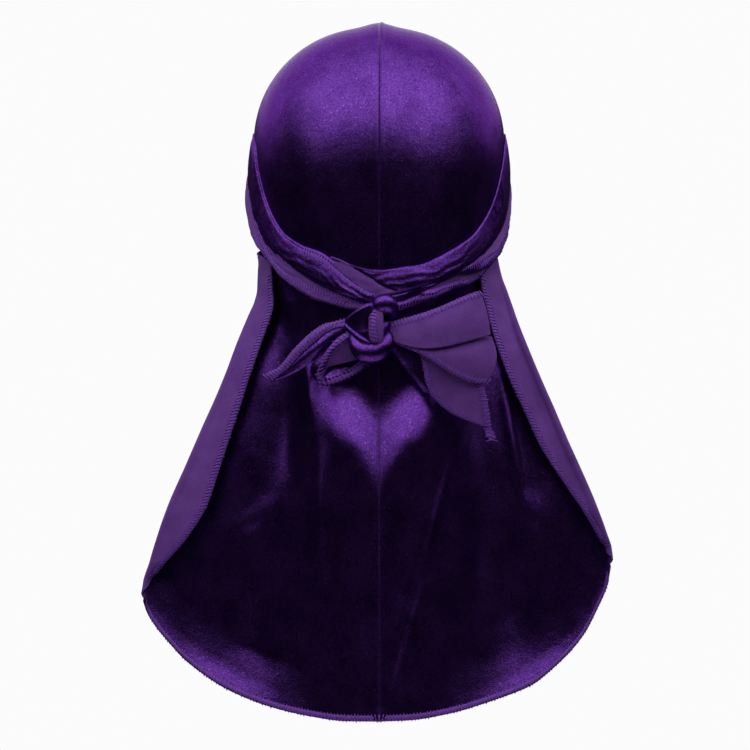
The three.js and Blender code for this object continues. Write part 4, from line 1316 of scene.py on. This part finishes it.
knot = strandObject("knot", strands.values())
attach(knot, "root")
knotWraps, knotOverlock = leafObject(
    "knotWraps",
    gatheredPatches("strap", 1) + gatheredPatches("cheek", 0),
    [leafHem("strap", 0.0)],
)
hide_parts("knot")
endLeft, endLeftOverlock = leafObject(
    "tieEndLeft",
    [
        leafPatch("stripUpper", 1),
        leafPatch("stripLower", 0),
        leafPatch("foldOuter", 0),
        leafPatch("foldInside", 1),
        leafPatch("foldHollow", 0),
        leafPatch("foldLip", 0),
    ],
    [
        leafHem("stripUpper", 0.0),
        leafHem("stripUpper", 1.0, 0.1),
        leafHem("foldOuter", 1.0),
        leafHem("foldLip", 0.0, 0.2),
    ],
)
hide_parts("tie_end_left")
endRight, endRightOverlock = leafObject(
    "tieEndRight",
    [
        leafPatch("flapUpper", 1),
        leafPatch("flapLower", 1),
        leafPatch("layerVelvet", 0),
        leafPatch("layerMatte", 1),
    ],
    [
        leafHem("flapUpper", 0.0),
        leafHem("flapLower", 1.0),
        leafHem("layerMatte", 0.0, 0.08),
        leafHem("layerMatte", 1.0, 0.12),
    ],
)
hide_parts("tie_end_right")
print("knot and free ends made")
# Light, floor and background

studio = {
    "keyPower": 160.0,
    "keySize": (8.0, 2.9),
    "keyPlace": (0, -0.7, 1.5),
    "keyAim": (0, 0, 0),
    "backPower": 95.0,
    "backSize": (9.0, 2.7),
    "backPlace": (0, 1.9, 1.5),
    "backAim": (0, 0, -0.1),
    "floorLevel": -1.0,
    "floorSize": 0.8,
    "floorDark": (0.86, 0.86, 0.87),
    "floorLight": (0.9, 0.9, 0.91),
    "sky": (0.97, 0.97, 0.98, 1),
    "ambient": 0.01,
    "ambientColour": (0.8, 0.8, 0.9, 1),
}


def areaLight(name, place, size, power, aim):
    data = bpy.data.lights.new(name, "AREA")
    data.shape = "RECTANGLE"
    data.size, data.size_y = size
    data.energy = power
    made = bpy.data.objects.new(name, data)
    made.location = place
    made.rotation_euler = (Vector(aim) - Vector(place)).to_track_quat("-Z", "Y").to_euler()
    bpy.context.scene.collection.objects.link(made)


for light in ("key", "back"):
    place, size, power, aim = (studio[light + part] for part in ("Place", "Size", "Power", "Aim"))
    areaLight(light, place, size, power, aim)

world = bpy.data.worlds.new("studio")
bpy.context.scene.world = world
world.use_nodes = True
worldTree = world.node_tree
worldTree.nodes.clear()
shown = addNode(worldTree, "ShaderNodeBackground", {"Color": studio["sky"], "Strength": 1.0})
dim = addNode(worldTree, "ShaderNodeBackground", {
    "Color": studio["ambientColour"],
    "Strength": studio["ambient"],
})
path = addNode(worldTree, "ShaderNodeLightPath")
choose = addNode(worldTree, "ShaderNodeMixShader", {
    "Fac": path.outputs["Is Camera Ray"],
    1: dim.outputs["Background"],
    2: shown.outputs["Background"],
})
addNode(worldTree, "ShaderNodeOutputWorld", {"Surface": choose.outputs["Shader"]})

floorMaterial, floorTree, floorShader = newMaterial("floorPaint")
floorNoise = addNode(floorTree, "ShaderNodeTexNoise", {"Scale": 3.0, "Detail": 2}).outputs["Fac"]
fill(floorTree, floorShader, {
    "Base Color": ramp(floorTree, floorNoise, [(0.3, studio["floorDark"]), (0.7, studio["floorLight"])]),
    "Roughness": 0.8,
})
floorBm = bmesh.new()
bmesh.ops.create_grid(floorBm, x_segments=1, y_segments=1, size=studio["floorSize"])
bmesh.ops.translate(floorBm, vec=(0, 0, studio["floorLevel"]), verts=floorBm.verts)
meshObject("floor", floorBm, [floorMaterial])

bpy.context.scene.view_settings.view_transform = "Standard"
